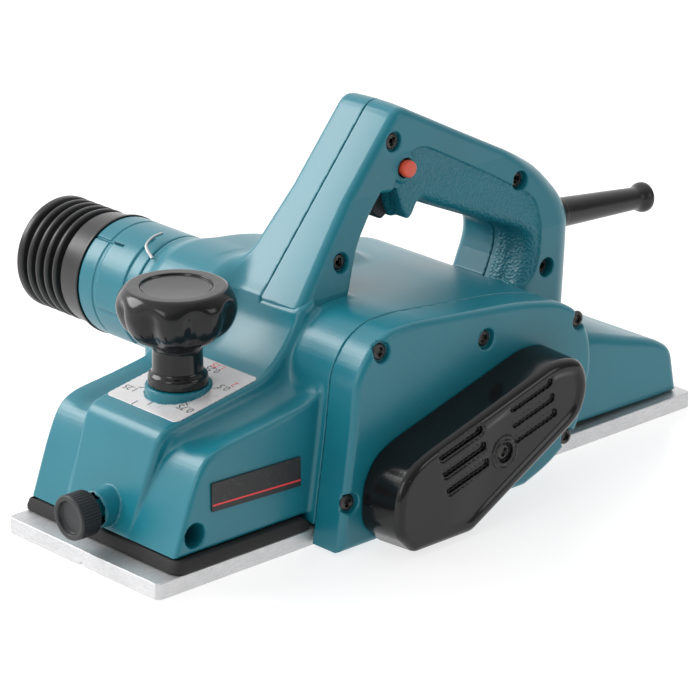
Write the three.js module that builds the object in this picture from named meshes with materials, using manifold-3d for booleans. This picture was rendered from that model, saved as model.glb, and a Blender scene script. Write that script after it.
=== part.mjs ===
// A hand-held electric planer for wood, built as the assembly of its real pieces.
// Millimetres, +Z up. The sole lies on z = 0, +X runs from the nose to the tail, -Y is the belt
// side and +Y the chip side. Inside this file x is counted from the front edge of the sole; the
// outer group then puts the origin at the middle of the rear sole.
import * as THREE from 'three';
import { mergeVertices } from 'three/addons/utils/BufferGeometryUtils.js';
import Module from 'manifold-3d';

const wasm = await Module();
wasm.setup();

// ---- Driving dimensions ----
const SOLE_LENGTH = 355;
const SOLE_WIDTH = 110;
const SHOE_THICKNESS = 8.2;
const FRONT_SHOE_LENGTH = 120;
const DEPTH_TRAVEL = 2; // how far the front shoe rises for the deepest cut
const CUT_RADIUS = 27; // circle of the blade edges
const CUT_CLEARANCE = 0.3; // blade circle above the sole
const LIP_REACH = 10; // how far the front shoe's rear edge reaches under the blade circle
const REAR_LIP = 13; // from the drum's axis to the rear shoe's front edge
const WALL = 3;
const GAP = 0.3; // between pieces that touch in the real machine
const TOP_HEIGHT = 189.5; // highest point of the handle
const KNOB_RADIUS = 28.6;
const NOZZLE_RADIUS = 30;
const GRIP_HALF = 20; // half the grip's width
const CASE_DEPTH = 19; // belt case, outwards from the housing
const COVER_DEPTH = 25; // belt cover, outwards from the belt case
const BELT_CENTRES = { x: 76, z: 29.7 }; // from the drum's axis to the motor's
const DRUM_PULLEY_RADIUS = 17.5;
const MOTOR_PULLEY_RADIUS = 10;

// ---- Stations worked out from them ----
const HALF = SOLE_WIDTH / 2;
const SHOE_TOP = SHOE_THICKNESS;
const DRUM = { x: FRONT_SHOE_LENGTH + CUT_RADIUS - LIP_REACH, z: CUT_RADIUS + CUT_CLEARANCE };
const REAR_SHOE_START = DRUM.x + REAR_LIP;
const REAR_SOLE_MIDDLE = (REAR_SHOE_START + SOLE_LENGTH) / 2;
const NOSE_HALF = HALF - WALL;
const NOSE_BOTTOM = SHOE_TOP + 6.8;
const NOSE_FRONT = 13.3;
const TAIL_HALF = HALF - 4;
const TAIL_BOTTOM = SHOE_TOP + GAP;
const SEAM_Y = -(HALF + 1); // where the belt case meets the housing
const CASE_Y = SEAM_Y - CASE_DEPTH; // outer face of the belt case
const COVER_Y = CASE_Y - COVER_DEPTH; // outer face of the belt cover
const BAY_Y = HALF + 0.5; // inner face of the chip-side wall
const CHIP_WALL_Y = BAY_Y + 6.5; // outer face of the chip-side wall
const MOTOR = { x: DRUM.x + BELT_CENTRES.x, z: DRUM.z + BELT_CENTRES.z };
const KNOB_X = 60.5;
const KNOB_SEAT = 75.2; // top of the knob's boss
const KNOB_TOP = KNOB_SEAT + 48.3;
const KNOB_BOSS_RADIUS = 15.7;
const NOZZLE = {
  x: DRUM.x - 11, z: DRUM.z + 25 + NOZZLE_RADIUS, from: HALF + 21, seam: HALF + 63, end: HALF + 113,
};
const ROD = { x: 25.5, z: NOSE_BOTTOM + 9, radius: 6 }; // cross hole for the edge guide's rod
const THUMB_Z = ROD.z + 2;
const PARTITION_X = DRUM.x + CUT_RADIUS + 3;

// ---- Colours ----
const TEAL = { color: 0x1c7f8c, roughness: 0.55, metalness: 0 };
const BLACK = { color: 0x17181a, roughness: 0.35, metalness: 0 };
const RUBBER = { color: 0x1b1c1e, roughness: 0.8, metalness: 0 };
const GREY = { color: 0x3a3e42, roughness: 0.6, metalness: 0 };
const ORANGE = { color: 0xd8452a, roughness: 0.45, metalness: 0 };
const ALUMINIUM = { color: 0xc2c5c8, roughness: 0.35, metalness: 1 };
const STEEL = { color: 0x9a9da1, roughness: 0.3, metalness: 1 };
const DARK_STEEL = { color: 0x2c2e31, roughness: 0.45, metalness: 1 };
const COPPER = { color: 0xb87446, roughness: 0.35, metalness: 1 };
const CARBON = { color: 0x232323, roughness: 0.7, metalness: 0 };
const PLATE = { color: 0xd9d7cf, roughness: 0.4, metalness: 0.2 };

// ---- Making solids ----

// A closed geometry as a solid: vertices shared, slivers at a lathe's poles left out.
function solid(geometry) {
  geometry.deleteAttribute('normal');
  geometry.deleteAttribute('uv');
  const merged = mergeVertices(geometry, 1e-4);
  const index = merged.index.array;
  const triangles = [];
  for (let i = 0; i < index.length; i += 3) {
    const [a, b, c] = [index[i], index[i + 1], index[i + 2]];
    if (a !== b && b !== c && c !== a) triangles.push(a, b, c);
  }
  return new wasm.Manifold(new wasm.Mesh({
    numProp: 3,
    vertProperties: new Float32Array(merged.attributes.position.array),
    triVerts: new Uint32Array(triangles),
  }));
}

const union = (pieces) => pieces.reduce((whole, piece) => whole.add(piece));
const cut = (piece, holes) => holes.reduce((rest, hole) => rest.subtract(hole), piece);

function counterClockwise(points) {
  if (points[0].distanceTo(points.at(-1)) < 1e-6) points.pop();
  return THREE.ShapeUtils.isClockWise(points) ? points.reverse() : points;
}

// A closed outline from corners [u, v, blend]; blend is how far from the corner its curve starts,
// or just under half the edge where that is shorter.
function outline(corners, steps = 2) {
  const cornerAt = (i) => new THREE.Vector2(...corners[(i + corners.length) % corners.length]);
  const shape = new THREE.Path();
  corners.forEach(([, , blend = 0], i) => {
    const corner = cornerAt(i);
    if (!blend) {
      if (i) shape.lineTo(corner.x, corner.y);
      else shape.moveTo(corner.x, corner.y);
      return;
    }
    const towards = (edge) => edge.setLength(Math.min(blend, 0.48 * edge.length())).add(corner);
    const start = towards(cornerAt(i - 1).sub(corner));
    const end = towards(cornerAt(i + 1).sub(corner));
    if (i) shape.lineTo(start.x, start.y);
    else shape.moveTo(start.x, start.y);
    shape.quadraticCurveTo(corner.x, corner.y, end.x, end.y);
  });
  return counterClockwise(shape.getPoints(steps));
}

// The outline moved inwards by distance, or outwards where it is negative. An edge that a tight
// curve would turn back on itself is left out.
function inset(points, distance) {
  const next = (list, i) => list[(i + 1) % list.length];
  const moved = points.map((point, i) => {
    const before = point.clone().sub(points.at(i - 1)).normalize();
    const after = next(points, i).clone().sub(point).normalize();
    const inward = new THREE.Vector2(-before.y - after.y, before.x + after.x);
    return point.clone().addScaledVector(inward, distance / (1 + before.dot(after)));
  });
  return moved.filter((point, i) => {
    const edge = next(points, i).clone().sub(points[i]);
    return next(moved, i).clone().sub(point).dot(edge) > 0;
  });
}

function circle(x, z, radius, sides = 32) {
  return new THREE.EllipseCurve(x, z, radius, radius).getPoints(sides).slice(0, sides);
}

function extruded(points, depth, bevel) {
  const geometry = new THREE.ExtrudeGeometry(new THREE.Shape(points), {
    depth: depth - 2 * bevel,
    bevelEnabled: bevel > 0,
    bevelThickness: bevel,
    bevelSize: bevel,
    bevelOffset: -bevel,
    bevelSegments: 1,
  });
  return geometry.translate(0, 0, bevel);
}

// An outline in x and z, made thick along y from one station to another.
function slab(points, from, to, bevel = 0) {
  const low = Math.min(from, to);
  const depth = Math.abs(to - from);
  return solid(extruded(points, depth, bevel).rotateX(Math.PI / 2).translate(0, low + depth, 0));
}

// An outline in x and y, made thick along z.
function column(points, from, to, bevel = 0) {
  return solid(extruded(points, to - from, bevel).translate(0, 0, from));
}

// An outline in y and z, made thick along x.
function rail(points, from, to, bevel = 0) {
  const turn = new THREE.Matrix4().makeBasis(
    new THREE.Vector3(0, 1, 0), new THREE.Vector3(0, 0, 1), new THREE.Vector3(1, 0, 0));
  return solid(extruded(points, to - from, bevel).applyMatrix4(turn).translate(from, 0, 0));
}

function box(x0, x1, y0, y1, z0, z1) {
  const geometry = new THREE.BoxGeometry(x1 - x0, y1 - y0, z1 - z0);
  return solid(geometry.translate((x0 + x1) / 2, (y0 + y1) / 2, (z0 + z1) / 2));
}

// A turned piece from profile points [radius, height], about the y axis. A ring's profile ends
// where it starts.
function lathe(profile, sides) {
  const points = profile.map(([radius, height]) => new THREE.Vector2(radius, height));
  return new THREE.LatheGeometry(points, sides);
}

const aboutY = (profile, x, z, sides = 20) => solid(lathe(profile, sides).translate(x, 0, z));
const aboutZ = (profile, x, y, sides = 20) =>
  solid(lathe(profile, sides).rotateX(Math.PI / 2).translate(x, y, 0));
const aboutX = (profile, y, z, sides = 20) =>
  solid(lathe(profile, sides).rotateZ(-Math.PI / 2).translate(0, y, z));

// Profiles, from low to high: a rod, and a ring around it.
const rod = (radius, low, high) => [[0, low], [radius, low], [radius, high], [0, high]];
const ring = (inner, outer, low, high) =>
  [[inner, low], [outer, low], [outer, high], [inner, high], [inner, low]];

const shaftY = (axis, radius, from, to, sides = 20) =>
  aboutY(rod(radius, Math.min(from, to), Math.max(from, to)), axis.x, axis.z, sides);
const shaftZ = (x, y, radius, from, to, sides = 20) => aboutZ(rod(radius, from, to), x, y, sides);
const shaftX = (y, z, radius, from, to, sides = 20) => aboutX(rod(radius, from, to), y, z, sides);

const machine = new THREE.Group();
machine.position.x = -REAR_SOLE_MIDDLE;

// Puts a finished solid into the machine as one named mesh.
function add(name, piece, look) {
  const { vertProperties, triVerts } = piece.getMesh();
  const geometry = new THREE.BufferGeometry();
  geometry.setAttribute('position', new THREE.BufferAttribute(new Float32Array(vertProperties), 3));
  geometry.setIndex(new THREE.BufferAttribute(new Uint32Array(triVerts), 1));
  const mesh = new THREE.Mesh(geometry, new THREE.MeshStandardMaterial(look));
  mesh.name = name;
  machine.add(mesh);
}

// ---- Shared outlines ----

// Side view of the belt-and-motor block and of the belt case that covers its side.
// The front follows the front shoe and the chip outlet, the rear follows the motor.
const at = (from, du, dv, blend) => [from.x + du, from.z + dv, blend];
const BLOCK_BOTTOM = 1.5;
const BLOCK_FRONT = FRONT_SHOE_LENGTH - 27;
const CROWN = NOZZLE.z + 22;
const BLOCK = outline([
  [BLOCK_FRONT, BLOCK_BOTTOM], [BLOCK_FRONT + 8.5, DRUM.z + 26.7],
  [BLOCK_FRONT + 12.5, CROWN - 19.3, 6], [BLOCK_FRONT + 22, CROWN - 6.3, 6],
  [BLOCK_FRONT + 34, CROWN - 0.3, 6], [BLOCK_FRONT + 50, CROWN, 6],
  at(MOTOR, -31, 43, 12), at(MOTOR, 0.7, 39.5, 12), at(MOTOR, 25, 34, 8), at(MOTOR, 39, 26, 7),
  at(MOTOR, 47, 11, 6), at(MOTOR, 48.5, -5, 6), [MOTOR.x + 38, BLOCK_BOTTOM + 17.5, 8],
  [MOTOR.x + 19, BLOCK_BOTTOM + 5.5, 8], [MOTOR.x + 3, BLOCK_BOTTOM],
]);
const TAIL_END = SOLE_LENGTH - 5;
const TAIL = outline([
  [246, TAIL_BOTTOM], [246, 63], [TAIL_END - 69, 56, 14], [TAIL_END - 17, 41, 12],
  [TAIL_END - 4.5, 33, 5], [TAIL_END, TAIL_BOTTOM],
]);
const HANDLE = outline([
  [113, 88], [112.1, 105], [183.5, TOP_HEIGHT, 8], [226, 167], [262, 148.2], [284, 135, 8],
  [297, 120, 6], [300.5, 110, 5], [299.5, 90.7],
  [296.5, 46], [238, 46], [238, 88],
], 3);
// The fingers' opening through the handle, with the nub that shields the trigger's tip.
const GRIP_OPENING = outline([
  [144, 90], [147, 108, 8], [154, 126, 6], [163.5, 138], [172, 145], [180, 145], [181, 141],
  [203, 133], [266.5, 106, 5], [266.5, 97, 6], [262, 82],
]);
const BLOCK_CORE = inset(BLOCK, WALL / 3);
const TAIL_CORE = inset(TAIL, WALL / 3);

// ---- Screws ----
const HANDLE_SCREWS = [
  { x: 142.4, z: 120.5, face: GRIP_HALF + 3 }, { x: 180, z: 171.4, face: GRIP_HALF },
  { x: 263.5, z: 133.8, face: GRIP_HALF }, { x: 278.3, z: 86.3, face: GRIP_HALF + 3 },
];
const CASE_SCREWS = [
  { x: BLOCK_FRONT + 28.2, z: CROWN - 10.8 }, { x: MOTOR.x - 24.5, z: MOTOR.z + 27.3 },
  { x: MOTOR.x + 38, z: MOTOR.z + 19 }, { x: BLOCK_FRONT + 8.8, z: DRUM.z - 2 },
  { x: MOTOR.x + 30.5, z: BLOCK_BOTTOM + 18 },
];
const COVER_SCREW = { x: DRUM.x + 40.2, z: DRUM.z + 9.7 };
const HEAD_RADIUS = 4;
const HEAD_HEIGHT = 2.5;
const SHANK_RADIUS = 2;
const BOSS_RADIUS = 5.5;
const SCREW_SIDES = 10;

// A screw along y, its head at face and its tip at tip.
function screw(place, face, tip) {
  const inward = Math.sign(tip - face);
  const head = shaftY(place, HEAD_RADIUS, face, face + inward * HEAD_HEIGHT, SCREW_SIDES);
  const recess = shaftY(place, 1.6, face - inward, face + inward * 1.2, 6);
  return head.add(shaftY(place, SHANK_RADIUS, face + inward, tip, SCREW_SIDES)).subtract(recess);
}

// The room a screw takes: clearance for the shank and a recess for the head.
function screwHole(place, face, mouth, tip) {
  const inward = Math.sign(tip - face);
  const floor = face + inward * (HEAD_HEIGHT + GAP);
  const shank = shaftY(place, SHANK_RADIUS + GAP, mouth, tip + inward, SCREW_SIDES);
  return shank.add(shaftY(place, HEAD_RADIUS + 0.7, mouth, floor, SCREW_SIDES));
}

// ---- Housing ----

// The handle's outside: a narrow grip on legs that widen towards the block.
function handleOutside() {
  const flare = GRIP_HALF + 6;
  const spread = [[-flare, 40], [flare, 40], [flare, 107], [GRIP_HALF + 3, 126], [GRIP_HALF, 148],
    [GRIP_HALF - 6, 154], [6 - GRIP_HALF, 154], [-GRIP_HALF, 148], [-GRIP_HALF - 3, 126],
    [-flare, 107]];
  const legs = slab(HANDLE, -flare, flare).intersect(rail(outline(spread), 80, 340));
  const grip = slab(HANDLE, -GRIP_HALF, GRIP_HALF, 3);
  return legs.add(grip).subtract(slab(GRIP_OPENING, -40, 40));
}

// The handle's inside, which also leaves room for the trigger and the lock button.
function handleInside() {
  const room = slab(inset(HANDLE, WALL), WALL - GRIP_HALF, GRIP_HALF - WALL);
  return room.subtract(slab(inset(GRIP_OPENING, -WALL), -40, 40));
}

const CORD = { x: 311, z: 100.8, fall: 0.0915, radius: 7.75, bore: 4.2 };
const LOCK = { x: 187.2, z: 157, radius: 4.25 };
const TRIGGER_HALF = 7.5;
const TRIGGER_PIVOT = { x: 197, z: 146 };
const TRIGGER = outline([
  [176.5, 133, 3], [184, 128.5, 2], [190, 133, 2], [194, 140], [199, 141, 2], [199, 150, 3],
  [183, 151.5, 3],
]);

// A turned piece about the cord guard's own axis, which falls slightly towards the rear.
function guardTurn(profile, sides = 20) {
  const turned = lathe(profile, sides).rotateZ(-Math.PI / 2).rotateY(CORD.fall);
  return solid(turned.translate(CORD.x, 0, CORD.z));
}

// Both handle halves in one, before they are parted along y = 0.
function handleWhole() {
  const outside = handleOutside();
  const screwBosses = union(HANDLE_SCREWS.map((place) =>
    shaftY(place, BOSS_RADIUS, 1.5 - place.face, place.face - 1.5, SCREW_SIDES)));
  const aroundTrigger = slab(inset(TRIGGER, -1.2), -TRIGGER_HALF - 0.6, TRIGGER_HALF + 0.6);
  return cut(outside.subtract(handleInside()).add(screwBosses.intersect(outside)), [
    aroundTrigger, aroundTrigger.translate([-2.5, 0, 2.5]),
    guardTurn(rod(CORD.radius + GAP, -31, 4)),
    shaftY(LOCK, LOCK.radius + GAP, -40, 0, 20),
    ...HANDLE_SCREWS.map((place) => screwHole(place, 1 - place.face, -40, 9)),
  ]);
}
const handleAll = handleWhole();

// The nose: a broad body, a raised ridge under the scale plate, and the room inside them.
const NOSE_SIDE = outline([
  [NOSE_FRONT, NOSE_BOTTOM], [28, 55, 4], [36, 60, 5], [104, 71], [112, 71], [112, NOSE_BOTTOM],
]);
const RIDGE_HALF = 27;
const RAMP = { x0: 37, z0: 68, x1: 88.6, z1: 76.5 };
const RIDGE_SIDE = outline([
  [NOSE_FRONT, NOSE_BOTTOM], [31.5, 64, 3], [RAMP.x0, RAMP.z0], [RAMP.x1, RAMP.z1], [96, 81.5, 4],
  [112, 88], [112, NOSE_BOTTOM],
]);

// The nose's outside, or its inside where a wall's thickness is taken off and the bottom opened.
function noseShape(thinner) {
  const low = thinner ? -1 : NOSE_BOTTOM;
  const narrow = RIDGE_HALF - 8 - thinner;
  const wide = RIDGE_HALF - thinner;
  const spread = outline([
    [-narrow, low], [narrow, low], [wide, 64], [wide, 99], [-wide, 99], [-wide, 64],
  ]);
  const bevel = thinner ? 0 : 2;
  const body = slab(inset(NOSE_SIDE, thinner), thinner - NOSE_HALF, NOSE_HALF - thinner, bevel);
  const ridge = slab(inset(RIDGE_SIDE, thinner), -40, 40).intersect(rail(spread, 0, 130));
  const shape = body.add(ridge);
  return thinner ? shape.add(shape.translate([0, 0, -2 * WALL])) : shape;
}

function nose() {
  const outside = noseShape(0);
  const rodTube = shaftY(ROD, ROD.radius + WALL, -60, 60, 24)
    .add(box(0, ROD.x, -60, 60, NOSE_BOTTOM, ROD.z)).intersect(outside);
  const knobBoss = shaftZ(KNOB_X, 0, KNOB_BOSS_RADIUS, KNOB_SEAT - 25, KNOB_SEAT);
  const thumbBoss = shaftX(0, THUMB_Z, 9.5, 8, ROD.x, 24);
  const shell = outside.subtract(noseShape(WALL));
  return cut(union([shell, rodTube, knobBoss, thumbBoss]), [
    shaftY(ROD, ROD.radius, -70, 70, 24),
    shaftX(0, THUMB_Z, 4 + GAP, 0, ROD.x, 20),
    shaftZ(KNOB_X, 0, 5 + GAP, 30, 90, 20),
    slab(BLOCK_CORE, SEAM_Y, BAY_Y),
  ]);
}

// The block: chip bay in front, motor bay behind, both open towards the belt case.
function block() {
  const outside = slab(BLOCK, SEAM_Y, CHIP_WALL_Y);
  const bay = slab(inset(BLOCK, WALL), SEAM_Y - 9, BAY_Y);
  const chipBay = bay.intersect(box(90, PARTITION_X, -200, 200, -9, 120));
  const motorBay = bay.intersect(
    box(PARTITION_X + WALL, 300, -200, 200, TAIL_BOTTOM + WALL, 120));
  const shoeRoom = box(60, REAR_SHOE_START, SEAM_Y - 9, BAY_Y, -9, SHOE_TOP + DEPTH_TRAVEL + GAP);
  const rearShoeRoom = box(DRUM.x, SOLE_LENGTH, SEAM_Y - 9, BAY_Y, -9, TAIL_BOTTOM);
  const bosses = union(CASE_SCREWS.map((place) =>
    shaftY(place, BOSS_RADIUS, SEAM_Y, SEAM_Y + 14, SCREW_SIDES)));
  const arm = box(CASE_SCREWS[1].x - 2, CASE_SCREWS[1].x + 2, SEAM_Y, SEAM_Y + 14,
    CASE_SCREWS[1].z, 120);
  const socket = shaftY(NOZZLE, NOZZLE_RADIUS, BAY_Y - 6, NOZZLE.from - GAP, 32);
  const pods = union([
    socket,
    shaftY(DRUM, 19, BAY_Y, BAY_Y + 12),
    shaftY(MOTOR, 17, BAY_Y - 9, CHIP_WALL_Y),
  ]);
  const shell = cut(outside, [chipBay, motorBay]);
  const fittings = bosses.add(arm).intersect(outside);
  return cut(union([shell, fittings, pods]), [
    shoeRoom, rearShoeRoom,
    shaftY(NOZZLE, NOZZLE_RADIUS - WALL, BAY_Y - 6 + WALL, NOZZLE.from + 9, 32),
    chipBay.intersect(box(90, PARTITION_X, BAY_Y - 20, BAY_Y, -9, 120)),
    shaftY(DRUM, 15 + GAP, BAY_Y - 9, BAY_Y + 9.4),
    shaftY(MOTOR, 13 + GAP, BAY_Y - 12, BAY_Y + 0.4),
    ...CASE_SCREWS.map((place) =>
      shaftY(place, SHANK_RADIUS + GAP, SEAM_Y - 5, SEAM_Y + 12, SCREW_SIDES)),
  ]);
}

// The tail: a low shell that covers the rear shoe.
const REAR_SCREWS = [
  { x: REAR_SHOE_START + 24, y: HALF - 16 }, { x: REAR_SHOE_START + 24, y: 16 - HALF },
  { x: SOLE_LENGTH - 22, y: HALF - 16 }, { x: SOLE_LENGTH - 22, y: 16 - HALF },
];
function tail() {
  const outside = slab(TAIL, -TAIL_HALF, TAIL_HALF, 4).intersect(
    box(200, SOLE_LENGTH, -99, 99, TAIL_BOTTOM, 99));
  const inside = slab(inset(TAIL, WALL), WALL - TAIL_HALF, TAIL_HALF - WALL);
  const bosses = union(REAR_SCREWS.slice(2).map((place) =>
    shaftZ(place.x, place.y, BOSS_RADIUS, TAIL_BOTTOM, 40, SCREW_SIDES)));
  return cut(outside, [inside, inside.translate([0, 0, -2 * WALL])]).add(bosses.intersect(outside));
}

const floorHoles = REAR_SCREWS.map((place) =>
  shaftZ(place.x, place.y, SHANK_RADIUS + GAP, 0, SHOE_TOP + 13, SCREW_SIDES));
const rearBosses = union(REAR_SCREWS.slice(0, 2).map((place) =>
  shaftZ(place.x, place.y, BOSS_RADIUS, TAIL_BOTTOM, TAIL_BOTTOM + 14, SCREW_SIDES)));
const tailShell = tail().subtract(slab(BLOCK_CORE, SEAM_Y, BAY_Y));
const chipSide = box(90, 340, 0, 60, 30, 200);
const rightHandle = cut(handleAll.intersect(chipSide),
  [slab(BLOCK_CORE, -60, BAY_Y), slab(TAIL_CORE, 1 - TAIL_HALF, TAIL_HALF - 1)]);
add('main_housing',
  cut(union([block(), nose(), tailShell, rightHandle, rearBosses]), floorHoles), TEAL);

const beltSide = box(90, 340, -60, -GAP, 30, 200);
add('handle_cover', cut(handleAll.intersect(beltSide), [
  slab(inset(BLOCK, -GAP), SEAM_Y, CHIP_WALL_Y),
  slab(inset(TAIL, -GAP), -TAIL_HALF, TAIL_HALF),
]), TEAL);

// ---- Belt case and belt cover ----
const BEARING_TUBE = 19;
function beltCase() {
  const outside = slab(BLOCK, CASE_Y, SEAM_Y - GAP, 2.5);
  const flat = slab(BLOCK, CASE_Y + 6, SEAM_Y - GAP);
  const inside = slab(inset(BLOCK, WALL), CASE_Y + WALL, SEAM_Y + 9);
  const inner = SEAM_Y - GAP;
  const tubes = union([
    shaftY(DRUM, BEARING_TUBE, CASE_Y + 1, inner), shaftY(MOTOR, BEARING_TUBE, CASE_Y + 1, inner),
    ...CASE_SCREWS.map((place) =>
      shaftY(place, BOSS_RADIUS + 1, CASE_Y + 1, inner, SCREW_SIDES)),
    shaftY(COVER_SCREW, BOSS_RADIUS, CASE_Y + 1, inner, SCREW_SIDES),
  ]).intersect(outside.add(flat));
  return cut(union([outside, flat]).subtract(inside).add(tubes), [
    shaftY(DRUM, 15 + GAP, CASE_Y + 8, SEAM_Y + 9), shaftY(DRUM, 8, CASE_Y - 9, SEAM_Y),
    shaftY(MOTOR, 13 + GAP, CASE_Y + 8, SEAM_Y + 9), shaftY(MOTOR, 8, CASE_Y - 9, SEAM_Y),
    ...CASE_SCREWS.map((place) => screwHole(place, CASE_Y + 2, CASE_Y - 9, SEAM_Y + 9)),
    shaftY(COVER_SCREW, SHANK_RADIUS + GAP, CASE_Y - 9, CASE_Y + 13, SCREW_SIDES),
  ]);
}
add('belt_case', beltCase(), TEAL);

// The cover's outline keeps its distance from the drum's and the motor's axes.
const COVER = outline([
  at(DRUM, -18, 1 - DRUM.z, 3), at(DRUM, -30, 13.7 - DRUM.z, 3), at(DRUM, -29.5, 4, 4),
  at(DRUM, -23, 16, 4), at(DRUM, -13.5, 22, 4), at(MOTOR, -2, 17.5, 7), at(MOTOR, 17, 15.5, 7),
  at(MOTOR, 22.5, 1.5, 4), at(MOTOR, 19, -12, 4), at(MOTOR, 13.5, -18.5, 3),
  at(DRUM, 19.8, 1 - DRUM.z),
]);
const SLOT = { length: 26, width: 4.4, pitch: 9.2, slope: 0.26 };
function coverSlots() {
  const groups = [at(DRUM, 11, 22), at(MOTOR, -18, 4)];
  const angle = Math.atan(SLOT.slope);
  const long = new THREE.Vector2(Math.cos(angle), Math.sin(angle)).multiplyScalar(SLOT.length / 2);
  const wide = new THREE.Vector2(-Math.sin(angle), Math.cos(angle)).multiplyScalar(SLOT.width / 2);
  return groups.flatMap(([x, z], group) => [0, 1, 2].map((row) => {
    const middle = new THREE.Vector2(x + row * (2 - group), z - row * SLOT.pitch);
    const corner = (a, b) => {
      const point = middle.clone().addScaledVector(long, a).addScaledVector(wide, b);
      return [point.x, point.y];
    };
    return slab(outline([corner(-1, -1), corner(1, -1), corner(1, 1), corner(-1, 1)]), COVER_Y - 5,
      COVER_Y + 1.2);
  }));
}
function beltCover() {
  const face = CASE_Y - GAP;
  const outside = slab(COVER, COVER_Y, face + 5, 2.5).intersect(
    box(0, SOLE_LENGTH, COVER_Y, face, 0, 200));
  const inside = slab(inset(COVER, 2.4), COVER_Y + 2.4, face + 9);
  const boss = shaftY(COVER_SCREW, BOSS_RADIUS + 0.5, COVER_Y + 1, face, SCREW_SIDES);
  return cut(outside.subtract(inside).add(boss),
    [screwHole(COVER_SCREW, COVER_Y + 2.5, COVER_Y - 9, CASE_Y + 9), ...coverSlots()]);
}
add('belt_cover', beltCover(), BLACK);

HANDLE_SCREWS.forEach((place, i) => {
  add(`handle_screw_${i + 1}`, screw(place, 1 - place.face, 8), BLACK);
});
CASE_SCREWS.forEach((place, i) => {
  add(`case_screw_${i + 1}`, screw(place, CASE_Y + 2, SEAM_Y + 10), BLACK);
});
add('cover_screw', screw(COVER_SCREW, COVER_Y + 2.5, CASE_Y + 11), BLACK);

// ---- Shoes ----
const drumRoom = (lower) => shaftY({ x: DRUM.x, z: DRUM.z - lower }, CUT_RADIUS + 1.2, -99, 99, 40);
const POST_TOP = 40;
const SPRING = { x: 44, y: 30, radius: 4.5, wire: 0.9, turns: 4, top: 30 };
function shoePlate(front, rear, chamfer) {
  const corners = [[front + chamfer, -HALF], [rear - chamfer, -HALF], [rear, chamfer - HALF],
    [rear, HALF - chamfer], [rear - chamfer, HALF], [front + chamfer, HALF],
    [front, HALF - chamfer], [front, chamfer - HALF]];
  return column(outline(corners), 0, SHOE_TOP);
}
const vGroove = rail(outline([[-2.5, -0.5], [2.5, -0.5], [0, 2.2]]), -9, FRONT_SHOE_LENGTH + 9);
add('front_shoe', cut(
  shoePlate(0, FRONT_SHOE_LENGTH, 2).add(shaftZ(KNOB_X, 0, 9, SHOE_TOP - 1, POST_TOP, 24)),
  [vGroove, drumRoom(0), drumRoom(DEPTH_TRAVEL), shaftZ(KNOB_X, 0, 5 + GAP, SHOE_TOP + 2, 60, 20)],
), ALUMINIUM);

const countersinks = REAR_SCREWS.map((place) => aboutZ(
  [[0, -1], [4.6, -1], [4.6, 1], [SHANK_RADIUS + GAP, 3.8], [SHANK_RADIUS + GAP, 12], [0, 12]],
  place.x, place.y, SCREW_SIDES));
add('rear_shoe',
  cut(shoePlate(REAR_SHOE_START, SOLE_LENGTH, 2), [drumRoom(0), ...countersinks]), ALUMINIUM);
const countersunk = [
  [0, 1.4], [1.4, 1.4], [1.4, 0.6], [4, 0.6], [4, 1], [SHANK_RADIUS, 3.4],
  [SHANK_RADIUS, SHOE_TOP + 11], [0, SHOE_TOP + 11],
];
REAR_SCREWS.forEach((place, i) => {
  add(`shoe_screw_${i + 1}`, aboutZ(countersunk, place.x, place.y, SCREW_SIDES), STEEL);
});

// The flexible band that closes the gap between the front shoe and the nose.
const SKIRT_HALF = HALF + 0.5;
const SKIRT = outline([
  [NOSE_FRONT - 2, -SKIRT_HALF, 6], [92, -SKIRT_HALF], [92, SKIRT_HALF],
  [NOSE_FRONT - 2, SKIRT_HALF, 6],
]);
add('rubber_skirt', column(SKIRT, SHOE_TOP + GAP, NOSE_BOTTOM - GAP)
  .subtract(column(inset(SKIRT, 6), 0, NOSE_BOTTOM + 5)), RUBBER);

// Coil springs that push the front shoe down.
class Helix extends THREE.Curve {
  getPoint(t) {
    const angle = 2 * Math.PI * SPRING.turns * t;
    const low = SHOE_TOP + GAP + SPRING.wire;
    return new THREE.Vector3(SPRING.radius * Math.cos(angle), SPRING.radius * Math.sin(angle),
      low + t * (SPRING.top - SPRING.wire - GAP - low));
  }
}
for (const side of [-1, 1]) {
  const wire = new THREE.Shape(circle(0, 0, SPRING.wire, 6));
  const coil = solid(new THREE.ExtrudeGeometry(wire, {
    steps: SPRING.turns * 8, extrudePath: new Helix(), curveSegments: 6,
  }).translate(SPRING.x, side * SPRING.y, 0));
  add(side < 0 ? 'shoe_spring_belt_side' : 'shoe_spring_chip_side', coil, STEEL);
}

// ---- Depth setting: plate, knob, screw ----
const rampLength = Math.hypot(RAMP.x1 - RAMP.x0, RAMP.z1 - RAMP.z0);
const rise = (RAMP.z1 - RAMP.z0) / (RAMP.x1 - RAMP.x0);
const PLATE_THICKNESS = 0.9;
const plateAt = (x, up) => [x, RAMP.z0 + rise * (x - RAMP.x0) + up];
const plateSide = outline([
  plateAt(RAMP.x0 + 0.5, GAP), plateAt(RAMP.x1 - 0.5, GAP),
  plateAt(RAMP.x1 - 0.5, GAP + PLATE_THICKNESS), plateAt(RAMP.x0 + 0.5, GAP + PLATE_THICKNESS),
]);
add('scale_plate', slab(plateSide, 0.7 - rampLength / 2, rampLength / 2 - 0.7)
  .subtract(shaftZ(KNOB_X, 0, KNOB_BOSS_RADIUS + GAP, 50, 90)), PLATE);

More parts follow.
